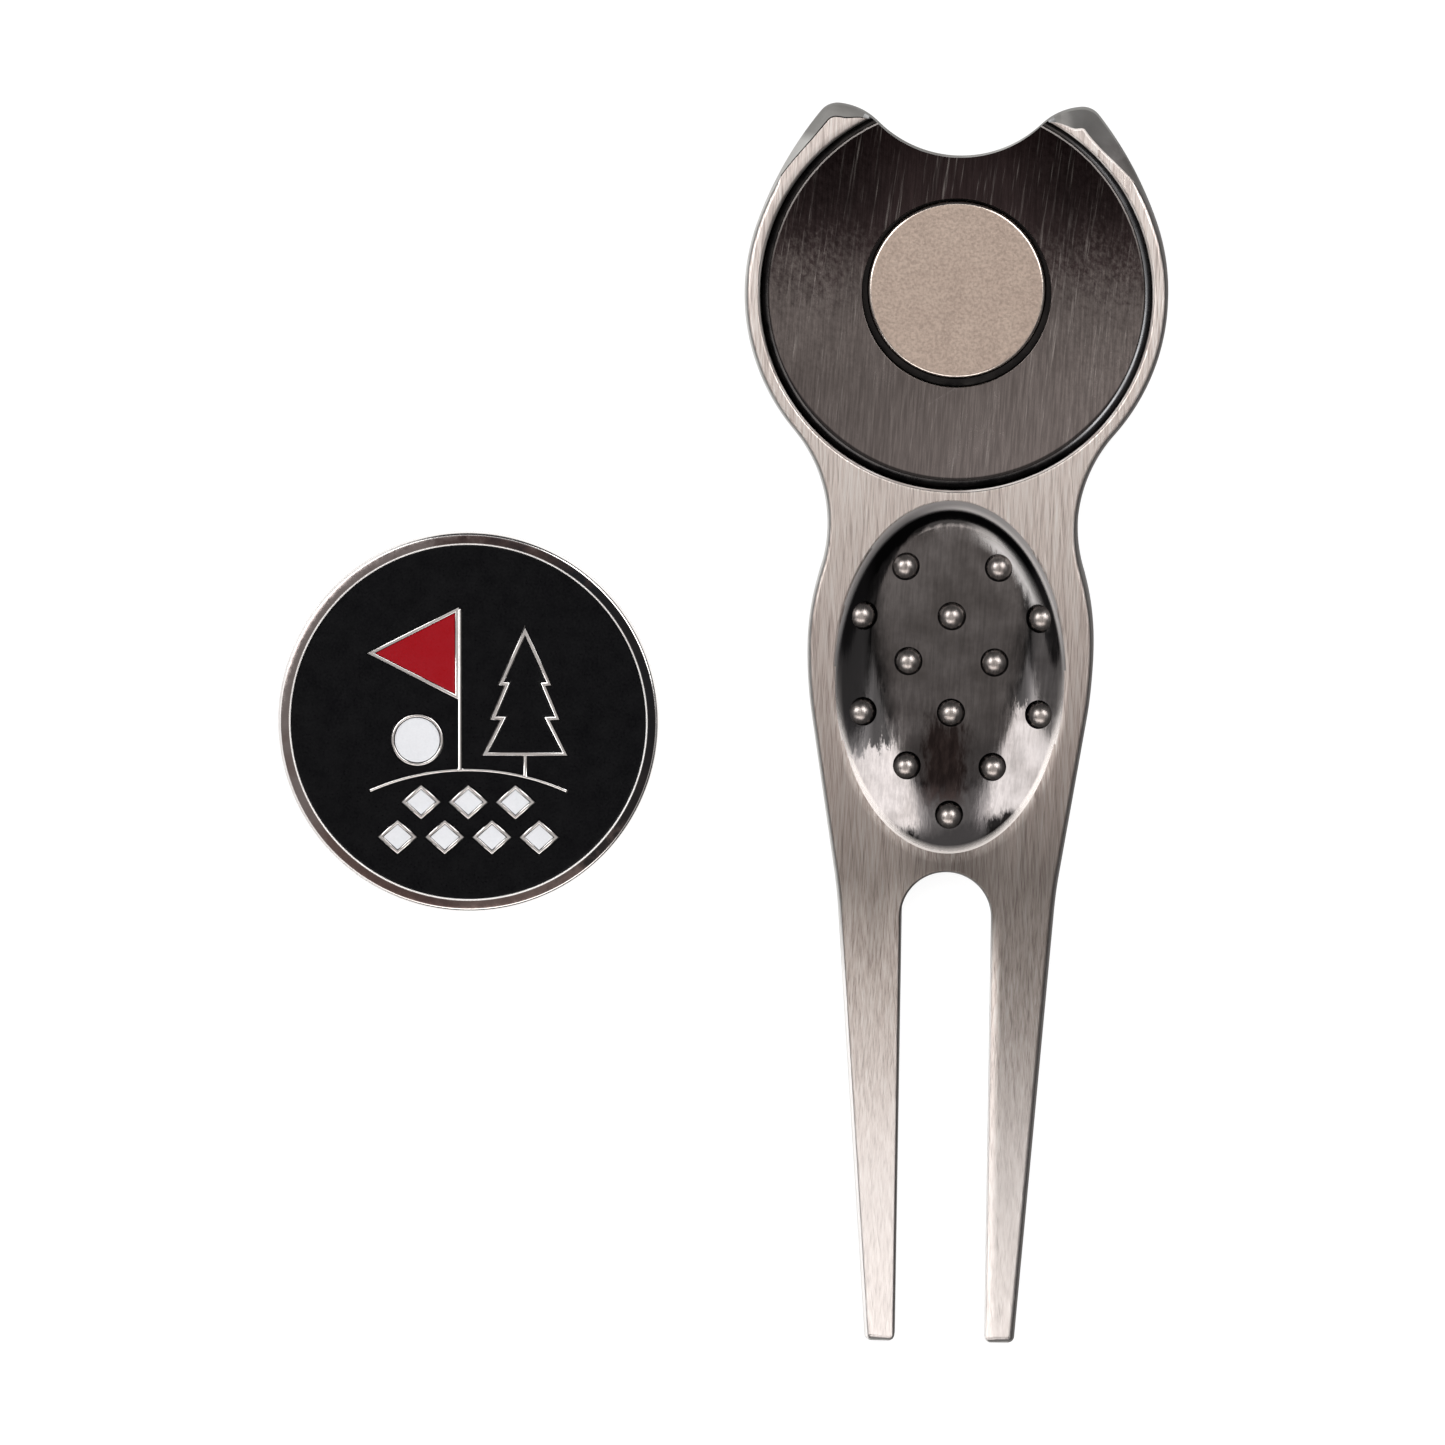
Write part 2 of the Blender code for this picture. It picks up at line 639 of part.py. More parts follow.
def make_marker(steel, black, red, white):
    """The marker's pieces under an empty at its centre, under an empty on the axis it turns over about."""
    x, y = MARKER_CENTRE
    hinge_z = (RECESS_FLOOR_Z + SEAT_GAP + MARKER_THICKNESS) / 2
    hinge = make_empty("marker_turn_axis", (x / 2, y / 2, hinge_z))
    centre = make_empty("marker_centre", (x / 2, y / 2, -hinge_z), MARKER_TURN)
    centre.parent = hinge
    for piece in [make_marker_blank(steel)] + make_enamel(black, red, white):
        piece.parent = centre


def main():
    clear_scene()
    plated = make_material("brushed_nickel", (0.62, 0.57, 0.54), 0.33, 1.0)
    magnet_plating = make_material("magnet_nickel", (0.58, 0.52, 0.47), 0.38, 1.0)
    adhesive = make_material("adhesive", (0.65, 0.62, 0.5), 0.5, 0.0)
    steel = make_material("polished_nickel", (0.6, 0.57, 0.55), 0.15, 1.0)
    black = make_material("black_enamel", (0.012, 0.012, 0.014), 0.3, 0.0)
    red = make_material("red_enamel", (0.42, 0.012, 0.022), 0.3, 0.0)
    white = make_material("white_enamel", (0.8, 0.81, 0.83), 0.3, 0.0)
    make_tool(plated, magnet_plating, adhesive)
    make_marker(steel, black, red, white)


main()
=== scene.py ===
"""The finished look of the divot repair tool and its ball marker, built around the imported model.

Sizes are in millimetres, in the frame of the model, and each mesh is scaled to metres as it is made.
"""

import math

import bmesh
import bpy
from mathutils import Matrix, Vector


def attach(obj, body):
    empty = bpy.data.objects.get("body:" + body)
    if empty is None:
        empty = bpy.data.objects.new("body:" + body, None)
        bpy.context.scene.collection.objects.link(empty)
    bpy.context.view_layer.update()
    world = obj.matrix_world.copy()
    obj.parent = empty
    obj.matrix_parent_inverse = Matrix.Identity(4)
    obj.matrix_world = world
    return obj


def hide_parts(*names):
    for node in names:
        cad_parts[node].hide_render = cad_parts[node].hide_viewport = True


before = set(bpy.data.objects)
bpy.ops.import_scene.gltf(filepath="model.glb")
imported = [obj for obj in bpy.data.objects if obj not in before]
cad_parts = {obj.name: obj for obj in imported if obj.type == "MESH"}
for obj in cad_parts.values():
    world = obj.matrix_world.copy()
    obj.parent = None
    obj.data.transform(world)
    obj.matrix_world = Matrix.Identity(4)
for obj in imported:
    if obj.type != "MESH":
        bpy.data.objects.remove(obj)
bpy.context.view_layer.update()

MM = 0.001

# Outline of the tool: its right half, mirrored to the left
NOTCH_RADIUS = 7.8
NOTCH_BOTTOM_Y = 9.0
HORN_X = 8.15
HORN_RADIUS = 1.4
HORN_CREST_RADIUS = 4.3
SHOULDER_RADIUS = 25.0
SHOULDER_FOOT_ANGLE = 20.0
HEAD_RADIUS = 14.05
WAIST_HALF_WIDTH = 8.3
WAIST_Y = -15.5
BELLY_HALF_WIDTH = 9.5
BELLY_Y = -23.5
LOWER_BELLY_RADIUS = 30.0
FLANK_ANGLE = 9.1
FORK_TOP_Y = -38.5
TINE_ANGLE = 4.33
TINE_BLEND_RADIUS = 30.0
SLOT_HALF_WIDTH = 3.0
TIP_Y = -70.3
TIP_CORNER_RADIUS = 0.45

# Thickness and edges of the tool
BODY_THICKNESS = 4.6
TIP_THICKNESS = 2.0
TAPER_POWER = 1.25
SIDE_EDGE_RADIUS = 0.42
INNER_EDGE_RADIUS = 0.2
HORN_EDGE_RADIUS = 0.08
BACK_EDGE_RADIUS = 0.3
EDGE_BLEND = 0.8
HORN_SHARPENING = 4.0
LEAST_MITRE = 0.3
LEFT_HORN_FACET = 0.65
RIGHT_HORN_FACET = 1.25
LEFT_FACET_HEIGHT = 2.0
RIGHT_FACET_HEIGHT = 1.25
MOST_FACET_HEIGHT_SHARE = 0.5
HORN_FACET_START_Y = 6.2
HORN_FACET_FULL_Y = 11.6
HORN_FACET_START_X = 5.6
HORN_FACET_FULL_X = 7.6
NOTCH_SIDE_X = 6.5

# Recess for the marker, and the magnet in its floor
RECESS_RADIUS = 13.0
RECESS_FLOOR_Z = 2.7
RECESS_FILLET = 0.55
RECESS_EDGE_RADIUS = 0.28
POCKET_RADIUS = 6.28
POCKET_EDGE_RADIUS = 0.06
POCKET_FLOOR_Z = 1.0
MAGNET_RADIUS = 5.95
MAGNET_EDGE_RADIUS = 0.3
MAGNET_OFFSET_Y = 0.2
MAGNET_TOP_Z = 2.64
MAGNET_BOTTOM_Z = 1.14

# Thumb dish and its studs
DISH_CENTRE_Y = -25.8
DISH_HALF_WIDTH = 8.0
DISH_HALF_LENGTH = 12.25
DISH_DEPTH = 1.35
DISH_WALL_POWER = 3.2
DISH_TOP_WALL_POWER = 16.0
DISH_STEEPENING_POWER = 3.0
DISH_RIM_POWER = 1.8
STUD_RADIUS = 1.1
STUD_HEIGHT = 0.55
STUD_ROOT = 0.8
STUD_ROWS = (
    (-18.2, (-3.1, 3.15)),
    (-21.5, (-5.95, 0.05, 6.05)),
    (-24.55, (-2.8, 2.95)),
    (-27.95, (-5.9, 0.1, 6.1)),
    (-31.55, (-2.85, 3.0)),
    (-34.8, (0.1,)),
)

# Ball marker
MARKER_RADIUS = 12.7
MARKER_THICKNESS = 1.6
MARKER_EDGE_RADIUS = 0.22
RIM_WIDTH = 0.85
RIM_CROWN = 0.05
RIM_CREST_WIDTH = 0.3
RIM_CREST_DROP = 0.006
RIM_LIP_RADIUS = 0.09
CELL_FLOOR_Z = 1.3
CELL_LIFT = 0.001
LINE_ROOT = 0.15
LINE_WIDTH = 0.27
LINE_SOFTNESS = 0.1
ENAMEL_FOOT_Z = 1.31
ENAMEL_TOP_Z = 1.53
ENAMEL_GAP = 0.01
CLEARANCE_TOP_Z = 2.0
CLIMB_WIDTH = 0.16
CLIMB_HEIGHT = 0.04
MARKER_CENTRE = (-32.1, -29.32)
MARKER_TURN = 0.9
PENNANT_CORNERS = ((-0.88, 7.3), (-6.2, 4.6), (-0.88, 1.9))
TREE_CENTRE_X = 3.8
TREE_TIERS = ((-2.0, 2.45), (0.4, 1.95), (2.7, 1.4))
TREE_TOP_Y = 5.8
TIER_SHOULDER_SHARE = 0.5
BALL_CENTRE = (-3.4, -1.2)
BALL_RADIUS = 1.5
FLAGSTICK_X = -0.55
FLAGSTICK_TOP_Y = 7.6
MOUND_TOP_Y = -3.2
MOUND_HALF_WIDTH = 6.6
MOUND_RADIUS = 16.0
DIAMOND_ROWS = ((-5.35, 3), (-7.7, 4))
DIAMOND_PITCH = 3.15
DIAMOND_HALF_WIDTH = 0.95
DIAMOND_HALF_HEIGHT = 0.85

# How finely curves are divided
ROUND_STEPS = 288
SMALL_ROUND_STEPS = 144
DISH_STEPS = 160
DISH_RINGS = 30
STUD_STEPS = 36
STUD_RINGS = 9
ARCH_STEPS = 20
TINE_STEPS = 24
EDGE_STEPS = 6
LINE_EDGE_STEPS = 3

# How far a cutter's rounded edge stands above the face it cuts, and how far its end reaches past it
CUTTER_LIFT = 0.003
POCKET_LIFT = 0.002
CUTTER_SPARE = 0.5


# ---------------------------------------------------------------- mesh helpers


def make_object(name, data):
    thing = bpy.data.objects.new(name, data)
    bpy.context.scene.collection.objects.link(thing)
    return thing


def make_solid(name, points, faces):
    """An object from points in millimetres."""
    mesh = bpy.data.meshes.new(name)
    mesh.from_pydata([Vector(p) * MM for p in points], [], faces)
    mesh.validate()
    return make_object(name, mesh)


def combine(thing, other, operation):
    """Cuts or adds a helper, which is then deleted."""
    modifier = thing.modifiers.new(operation, "BOOLEAN")
    modifier.operation = operation
    modifier.solver = "EXACT"
    modifier.object = other
    apply_modifiers(thing)
    bpy.data.objects.remove(other, do_unlink=True)


def apply_modifiers(thing):
    bpy.context.view_layer.update()
    graph = bpy.context.evaluated_depsgraph_get()
    mesh = bpy.data.meshes.new_from_object(thing.evaluated_get(graph))
    thing.modifiers.clear()
    thing.data = mesh


def shade(thing, angle, sharp_round=None):
    """Smooth shading that keeps flat faces flat, and edges over an angle or round one material sharp."""
    thing.data.shade_smooth()
    thing.data.set_sharp_from_angle(angle=math.radians(angle))
    if sharp_round is not None:
        mesh = bmesh.new()
        mesh.from_mesh(thing.data)
        for edge in mesh.edges:
            kinds = {face.material_index for face in edge.link_faces}
            if len(kinds) > 1 and sharp_round in kinds:
                edge.smooth = False
        mesh.to_mesh(thing.data)
        mesh.free()
    weighted = thing.modifiers.new("flat_faces", "WEIGHTED_NORMAL")
    weighted.keep_sharp = True
    weighted.weight = 80
    apply_modifiers(thing)


def arc(centre, radius, start, end, steps):
    """Points on an arc from one angle to the other, in degrees, both ends included."""
    angles = [math.radians(start + (end - start) * i / steps) for i in range(steps + 1)]
    return [(centre[0] + radius * math.cos(a), centre[1] + radius * math.sin(a)) for a in angles]


def line(start, end, steps):
    """Points after the start of a line, up to and including its end."""
    return [
        (start[0] + (end[0] - start[0]) * i / steps, start[1] + (end[1] - start[1]) * i / steps)
        for i in range(1, steps + 1)
    ]


def direction(start, end):
    return math.degrees(math.atan2(end[1] - start[1], end[0] - start[0]))


def smooth_step(value):
    value = min(max(value, 0.0), 1.0)
    return value * value * (3 - 2 * value)


def ring_faces(rings, count):
    """Faces of a closed solid whose points are rings that run anticlockwise, foot first."""
    faces = [tuple(range(count - 1, -1, -1))]
    for k in range(rings - 1):
        for i in range(count):
            j = (i + 1) % count
            faces.append((k * count + i, k * count + j, (k + 1) * count + j, (k + 1) * count + i))
    faces.append(tuple((rings - 1) * count + i for i in range(count)))
    return faces


def lathe(name, profile, steps):
    """A solid of revolution about Z from (radius, z) points that run from its foot to its top."""
    points = [
        (r * math.cos(2 * math.pi * i / steps), r * math.sin(2 * math.pi * i / steps), z)
        for r, z in profile
        for i in range(steps)
    ]
    return make_solid(name, points, ring_faces(len(profile), steps))


# ---------------------------------------------------------------- tool casting

# The casting's finishes, by the order of its materials
BRUSHED, RECESS, DISH, STUD, CAST_SIDE, SHADE_BLACK, WEAR_AND_HIGHLIGHT_EDGE = range(7)

# Where one finish of the casting gives way to the next
DARK_FOOT_RADIUS = RECESS_RADIUS - 0.45
WORN_RIM_RADIUS = RECESS_RADIUS + 0.3
HORN_EDGE_DEPTH = 0.12
TOP_DEPTH = 0.07
SLACK = 0.01
STUD_SLACK = 0.015


def meet(centre_a, radius_a, centre_b, radius_b):
    """The lower of the two points where two circles cross."""
    a, b = Vector(centre_a), Vector(centre_b)
    gap = (b - a).length
    along = (gap**2 + radius_a**2 - radius_b**2) / (2 * gap)
    across = math.sqrt(radius_a**2 - along**2)
    unit = (b - a) / gap
    foot = a + unit * along
    side = Vector((-unit.y, unit.x)) * across
    return min((foot + side, foot - side), key=lambda p: p.y)


def upper_outline():
    """The right side from the middle of the notch, round the head, neck and belly, to the fork's top."""
    notch = (0.0, NOTCH_BOTTOM_Y + NOTCH_RADIUS)
    foot_angle = math.radians(SHOULDER_FOOT_ANGLE)
    reach = HEAD_RADIUS - SHOULDER_RADIUS
    shoulder = (reach * math.cos(foot_angle), reach * math.sin(foot_angle))
    horn_y = shoulder[1] + math.sqrt((SHOULDER_RADIUS - HORN_RADIUS) ** 2 - (HORN_X - shoulder[0]) ** 2)
    horn = (HORN_X, horn_y)
    crest = meet(notch, NOTCH_RADIUS + HORN_CREST_RADIUS, horn, HORN_CREST_RADIUS - HORN_RADIUS)
    head = (0.0, 0.0)
    neck_radius = (WAIST_HALF_WIDTH**2 + WAIST_Y**2 - HEAD_RADIUS**2) / (
        2 * (HEAD_RADIUS - WAIST_HALF_WIDTH)
    )
    neck = (WAIST_HALF_WIDTH + neck_radius, WAIST_Y)
    inward = neck[0] - BELLY_HALF_WIDTH
    belly_radius = (inward**2 + (WAIST_Y - BELLY_Y) ** 2 - neck_radius**2) / (
        2 * (BELLY_HALF_WIDTH - WAIST_HALF_WIDTH)
    )
    belly = (BELLY_HALF_WIDTH - belly_radius, BELLY_Y)
    lower_belly = (BELLY_HALF_WIDTH - LOWER_BELLY_RADIUS, BELLY_Y)
    notch_to_crest = direction(notch, crest)
    crest_to_horn = direction(crest, horn)
    shoulder_to_horn = direction(shoulder, horn)
    head_to_neck = direction(head, neck)
    belly_to_neck = direction(belly, neck)
    points = arc(notch, NOTCH_RADIUS, -90, notch_to_crest, 24)
    points += arc(crest, HORN_CREST_RADIUS, notch_to_crest + 180, crest_to_horn, 16)[1:]
    points += arc(horn, HORN_RADIUS, crest_to_horn, shoulder_to_horn, 14)[1:]
    points += arc(shoulder, SHOULDER_RADIUS, shoulder_to_horn, SHOULDER_FOOT_ANGLE, 30)[1:]
    points += arc(head, HEAD_RADIUS, SHOULDER_FOOT_ANGLE, 0, 12)[1:]
    points += arc(head, HEAD_RADIUS, 0, head_to_neck, 36)[1:]
    points += arc(neck, neck_radius, head_to_neck + 180, belly_to_neck + 180, 36)[1:]
    points += arc(belly, belly_radius, belly_to_neck, 0, 20)[1:]
    points += arc(lower_belly, LOWER_BELLY_RADIUS, 0, -FLANK_ANGLE, 14)[1:]
    x, y = points[-1]
    drop = FORK_TOP_Y - y
    end = (x + drop * math.tan(math.radians(FLANK_ANGLE)), FORK_TOP_Y)
    return points + line((x, y), end, 8)


def outer_fork(start):
    """The outer side of the right tine, after the fork's top, down to its tip's rounded corner."""
    normal = Vector((math.cos(math.radians(FLANK_ANGLE)), -math.sin(math.radians(FLANK_ANGLE))))
    centre = Vector(start) + normal * TINE_BLEND_RADIUS
    points = arc(centre, TINE_BLEND_RADIUS, 180 - FLANK_ANGLE, 180 - TINE_ANGLE, ARCH_STEPS)[1:]
    x, y = points[-1]
    slope = math.tan(math.radians(TINE_ANGLE))
    end_y = TIP_Y + TIP_CORNER_RADIUS * (1 - math.sin(math.radians(TINE_ANGLE)))
    return points + line((x, y), (x + (end_y - y) * slope, end_y), TINE_STEPS)


def tip(start):
    """The tine's end, between the last points of its outer and inner sides."""
    centre_y = TIP_Y + TIP_CORNER_RADIUS
    outer_x = start[0] - TIP_CORNER_RADIUS * math.cos(math.radians(TINE_ANGLE))
    inner_x = SLOT_HALF_WIDTH + TIP_CORNER_RADIUS
    points = arc((outer_x, centre_y), TIP_CORNER_RADIUS, -TINE_ANGLE, -90, 8)[1:]
    return points + arc((inner_x, centre_y), TIP_CORNER_RADIUS, -90, -180, 8)[:-1]


def inner_fork():
    """The slot's right side from the tine's tip up to the middle of the arch."""
    arch_y = FORK_TOP_Y - SLOT_HALF_WIDTH
    foot = (SLOT_HALF_WIDTH, TIP_Y + TIP_CORNER_RADIUS)
    points = [foot] + line(foot, (SLOT_HALF_WIDTH, arch_y), TINE_STEPS)
    return points + arc((0.0, arch_y), SLOT_HALF_WIDTH, 0, 90, ARCH_STEPS)[1:]


def thickness(y):
    share = max(0.0, (FORK_TOP_Y - y) / (FORK_TOP_Y - TIP_Y))
    return BODY_THICKNESS - (BODY_THICKNESS - TIP_THICKNESS) * share**TAPER_POWER


def horn_share(x, y):
    """From 0 at the shoulder and in the notch to 1 on the horn."""
    rise = smooth_step((y - HORN_FACET_START_Y) / (HORN_FACET_FULL_Y - HORN_FACET_START_Y))
    across = smooth_step((abs(x) - HORN_FACET_START_X) / (HORN_FACET_FULL_X - HORN_FACET_START_X))
    return rise * across


def horn_facet(x, y):
    """How far the horn's facet cuts the top face back."""
    return horn_share(x, y) * (LEFT_HORN_FACET if x < 0 else RIGHT_HORN_FACET)


def facet_height(x, y):
    """How far the top edge's rounding and facet reach down the side."""
    horn_height = LEFT_FACET_HEIGHT if x < 0 else RIGHT_FACET_HEIGHT
    return min(horn_height, thickness(y) * MOST_FACET_HEIGHT_SHARE)


def edge_radius(x, y):
    """The rounding of the edges: small in the slot and the notch, and nearly sharp on the horns."""
    if y < FORK_TOP_Y:
        share = smooth_step((abs(x) - SLOT_HALF_WIDTH) / EDGE_BLEND)
        return INNER_EDGE_RADIUS + (SIDE_EDGE_RADIUS - INNER_EDGE_RADIUS) * share
    in_notch = y >= NOTCH_BOTTOM_Y and abs(x) < NOTCH_SIDE_X
    plain = INNER_EDGE_RADIUS if in_notch or abs(x) < SLOT_HALF_WIDTH else SIDE_EDGE_RADIUS
    return plain + (HORN_EDGE_RADIUS - plain) * smooth_step(horn_share(x, y) * HORN_SHARPENING)


def outward_normals(outline):
    """The outward normal at each point of an outline that runs clockwise, longer at a corner."""
    normals = []
    for i, point in enumerate(outline):
        before = (Vector(point) - Vector(outline[i - 1])).normalized()
        after = (Vector(outline[(i + 1) % len(outline)]) - Vector(point)).normalized()
        mean = Vector((-before.y - after.y, before.x + after.x)).normalized()
        normals.append(mean / max(LEAST_MITRE, mean.dot(Vector((-after.y, after.x)))))
    return normals


def casting_rings(outline):
    """Rings of points from the back face, up the rounded sides, to the top face."""
    normals = outward_normals(outline)
    rings = []

    def add_ring(place):
        ring = []
        for (x, y), normal in zip(outline, normals):
            inset, z = place(x, y)
            ring.append((x - normal.x * inset, y - normal.y * inset, z))
        rings.append(ring)

    def back_edge(angle):
        def place(x, y):
            radius = min(BACK_EDGE_RADIUS, edge_radius(x, y))
            return radius * (1 - math.sin(angle)), radius * (1 - math.cos(angle))

        return place

    def side_foot(x, y):
        return 0.0, thickness(y) - facet_height(x, y)

    def top_edge(angle):
        def place(x, y):
            radius = edge_radius(x, y)
            drop = radius * (1 - math.sin(angle))
            share = 1 - drop / facet_height(x, y)
            return horn_facet(x, y) * share + radius * (1 - math.cos(angle)), thickness(y) - drop

        return place

    for k in range(EDGE_STEPS + 1):
        add_ring(back_edge(math.pi / 2 * k / EDGE_STEPS))
    add_ring(side_foot)
    for k in range(EDGE_STEPS + 1):
        add_ring(top_edge(math.pi / 2 * k / EDGE_STEPS))
    return rings


def casting_blank():
    """The tool before its recess, pocket, dish and studs."""
    upper = upper_outline()
    outer = outer_fork(upper[-1])
    end = tip(outer[-1])
    right = upper + outer + end + inner_fork()
    outline = right + [(-x, y) for x, y in reversed(right[1:-1])]
    count = len(outline)
    rings = casting_rings(outline)
    points = [point for ring in rings for point in ring]
    faces = [tuple(range(count))]
    for k in range(len(rings) - 1):
        for i in range(count):
            j = (i + 1) % count
            faces.append((k * count + j, k * count + i, (k + 1) * count + i, (k + 1) * count + j))
    faces += top_faces(len(upper), len(outer), len(end), count, (len(rings) - 1) * count)
    return make_solid("tool_casting", points, faces)


def top_faces(upper, outer, end, count, first):
    """The top face: one flat face for head and belly, strips along each tine, and a face at each tip."""
    fork, arch = upper - 1, upper + 2 * outer + end
    right, left = {}, {}
    for i in range(arch + 1):
        right[i], left[i] = first + i, first + (count - i) % count
    body = [right[i] for i in range(fork, -1, -1)] + [left[i] for i in range(1, fork + 1)]
    faces = [tuple(body + [right[arch]])]
    for side, turned in ((right, False), (left, True)):
        strips = [
            (side[fork + k], side[arch - k], side[arch - k - 1], side[fork + k + 1]) for k in range(outer)
        ]
        strips.append(tuple([side[fork + outer]] + [side[arch - outer - k] for k in range(end + 1)]))
        faces += [tuple(reversed(face)) for face in strips] if turned else strips
    return faces


def recess_cutter():
    edge = RECESS_EDGE_RADIUS
    centre = (RECESS_RADIUS - RECESS_FILLET, RECESS_FLOOR_Z + RECESS_FILLET)
    profile = arc(centre, RECESS_FILLET, -90, 0, 10)
    profile += arc((RECESS_RADIUS + edge, BODY_THICKNESS - edge + CUTTER_LIFT), edge, 180, 90, 8)
    profile += [(RECESS_RADIUS + edge, BODY_THICKNESS + CUTTER_SPARE)]
    return lathe("recess_cutter", profile, ROUND_STEPS)


def pocket_cutter():
    edge = POCKET_EDGE_RADIUS
    profile = [(POCKET_RADIUS, POCKET_FLOOR_Z)]
    profile += arc((POCKET_RADIUS + edge, RECESS_FLOOR_Z - edge + POCKET_LIFT), edge, 180, 90, 4)
    profile += [(POCKET_RADIUS + edge, RECESS_FLOOR_Z + CUTTER_SPARE)]
    return lathe("pocket_cutter", profile, SMALL_ROUND_STEPS)


def dish_drop(share, rise):
    """Depth of the dish at a share of the way from its middle to its rim.

    Its wall is steepest at the head's end. The rise is the sine of the direction from the middle: 1 towards
    the head and -1 towards the tines.
    """
    steepening = ((1 + rise) / 2) ** DISH_STEEPENING_POWER
    power = DISH_WALL_POWER + (DISH_TOP_WALL_POWER - DISH_WALL_POWER) * steepening
    return DISH_DEPTH * (1 - share**power) ** DISH_RIM_POWER


def dish_cutter():
    shares = [math.sin(math.pi / 2 * k / DISH_RINGS) for k in range(1, DISH_RINGS + 1)]
    rings = [(share, CUTTER_LIFT) for share in shares] + [(1.0, CUTTER_SPARE)]
    points = []
    for share, lift in rings:
        for i in range(DISH_STEPS):
            turn = 2 * math.pi * i / DISH_STEPS
            x = DISH_HALF_WIDTH * share * math.cos(turn)
            y = DISH_CENTRE_Y + DISH_HALF_LENGTH * share * math.sin(turn)
            points.append((x, y, BODY_THICKNESS + lift - dish_drop(share, math.sin(turn))))
    return make_solid("dish_cutter", points, ring_faces(len(rings), DISH_STEPS))


def dish_share(x, y):
    return math.hypot(x / DISH_HALF_WIDTH, (y - DISH_CENTRE_Y) / DISH_HALF_LENGTH)


def stud_domes():
    """The middle of each stud's dome."""
    domes = []
    for y, row in STUD_ROWS:
        for x in row:
            share = dish_share(x, y)
            floor = BODY_THICKNESS - dish_drop(share, (y - DISH_CENTRE_Y) / DISH_HALF_LENGTH / share)
            domes.append(Vector((x, y, floor + STUD_HEIGHT - STUD_RADIUS)))
    return domes


def stud_helper():
    """All the domed studs. A dome that would stand above the top face is ground flush with it."""
    points, faces = [], []
    for x, y, centre in stud_domes():
        rings = [(STUD_RADIUS, centre - STUD_ROOT), (STUD_RADIUS, centre)]
        for k in range(1, STUD_RINGS):
            angle = math.pi / 2 * k / STUD_RINGS
            z = centre + STUD_RADIUS * math.sin(angle)
            if z < BODY_THICKNESS:
                rings.append((STUD_RADIUS * math.cos(angle), z))
        start = len(points)
        for radius, z in rings:
            for i in range(STUD_STEPS):
                turn = 2 * math.pi * i / STUD_STEPS
                points.append((x + radius * math.cos(turn), y + radius * math.sin(turn), z))
        faces += [tuple(start + i for i in face) for face in ring_faces(len(rings), STUD_STEPS)]
    return make_solid("studs", points, faces)


def off_dome(dome, corner):
    """How far a point is from a stud's dome, or from the shaft under it."""
    away = corner - dome
    away.z = max(0.0, away.z)
    return abs(away.length - STUD_RADIUS)


def on_stud(corners):
    return any(all(off_dome(dome, corner) < STUD_SLACK for corner in corners) for dome in stud_domes())


def finish_of(centre, normal, corners):
    """Which of the casting's finishes a face has, by its number in the order of the casting's materials."""
    x, y, z = centre
    reach = math.hypot(x, y)
    depth = thickness(y) - z
    rounded = 0.04 < normal.z < 0.97
    if z > BODY_THICKNESS - 2 * DISH_DEPTH and dish_share(x, y) < 1.0 and on_stud(corners):
        return STUD
    # The horns' thin rounded edges: painted shade on the left horn and a painted highlight on the right one.
    if rounded and depth < HORN_EDGE_DEPTH and horn_share(x, y) > 0.2 and reach > WORN_RIM_RADIUS:
        return SHADE_BLACK if x < 0 else WEAR_AND_HIGHLIGHT_EDGE
    if depth < TOP_DEPTH and normal.z > 0.85:
        return BRUSHED
    # The magnet's pocket: painted shade, near black.
    if reach < POCKET_RADIUS + SLACK and POCKET_FLOOR_Z - SLACK < z < RECESS_FLOOR_Z - POCKET_EDGE_RADIUS:
        return SHADE_BLACK
    # The recess's wall and the top of its fillet: painted shade, near black.
    if DARK_FOOT_RADIUS < reach < RECESS_RADIUS + 2 * SLACK and z > RECESS_FLOOR_Z + SLACK / 2:
        return SHADE_BLACK
    # The recess's rounded rim: rubbed wear and a painted highlight.
    if RECESS_RADIUS < reach < WORN_RIM_RADIUS and depth < 0.3 and normal.z > 0.15:
        return WEAR_AND_HIGHLIGHT_EDGE
    if reach < WORN_RIM_RADIUS and z > RECESS_FLOOR_Z - POCKET_EDGE_RADIUS - SLACK:
        return RECESS
    if dish_share(x, y) < 1.0 and normal.z > 0.2:
        return DISH
    return CAST_SIDE


def make_casting(finishes):
    body = casting_blank()
    for make_cutter in (recess_cutter, pocket_cutter, dish_cutter):
        combine(body, make_cutter(), "DIFFERENCE")
    combine(body, stud_helper(), "UNION")
    for finish in finishes:
        body.data.materials.append(finish)
    for face in body.data.polygons:
        corners = [body.data.vertices[i].co / MM for i in face.vertices]
        face.material_index = finish_of(Vector(face.center) / MM, face.normal, corners)
    shade(body, 32, STUD)
    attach(body, "tool")
    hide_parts("tool_body")


def make_magnet(plating):
    edge = MAGNET_EDGE_RADIUS
    inner = MAGNET_RADIUS - edge
    profile = arc((inner, MAGNET_BOTTOM_Z + edge), edge, -90, 0, 8)
    profile += arc((inner, MAGNET_TOP_Z - edge), edge, 0, 90, 10)
    magnet = lathe("disc_magnet", profile, SMALL_ROUND_STEPS)
    magnet.data.materials.append(plating)
    shade(magnet, 40)
    magnet.location.y = MAGNET_OFFSET_Y * MM
    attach(magnet, "tool")
    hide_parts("magnet")


# ---------------------------------------------------------------- ball marker


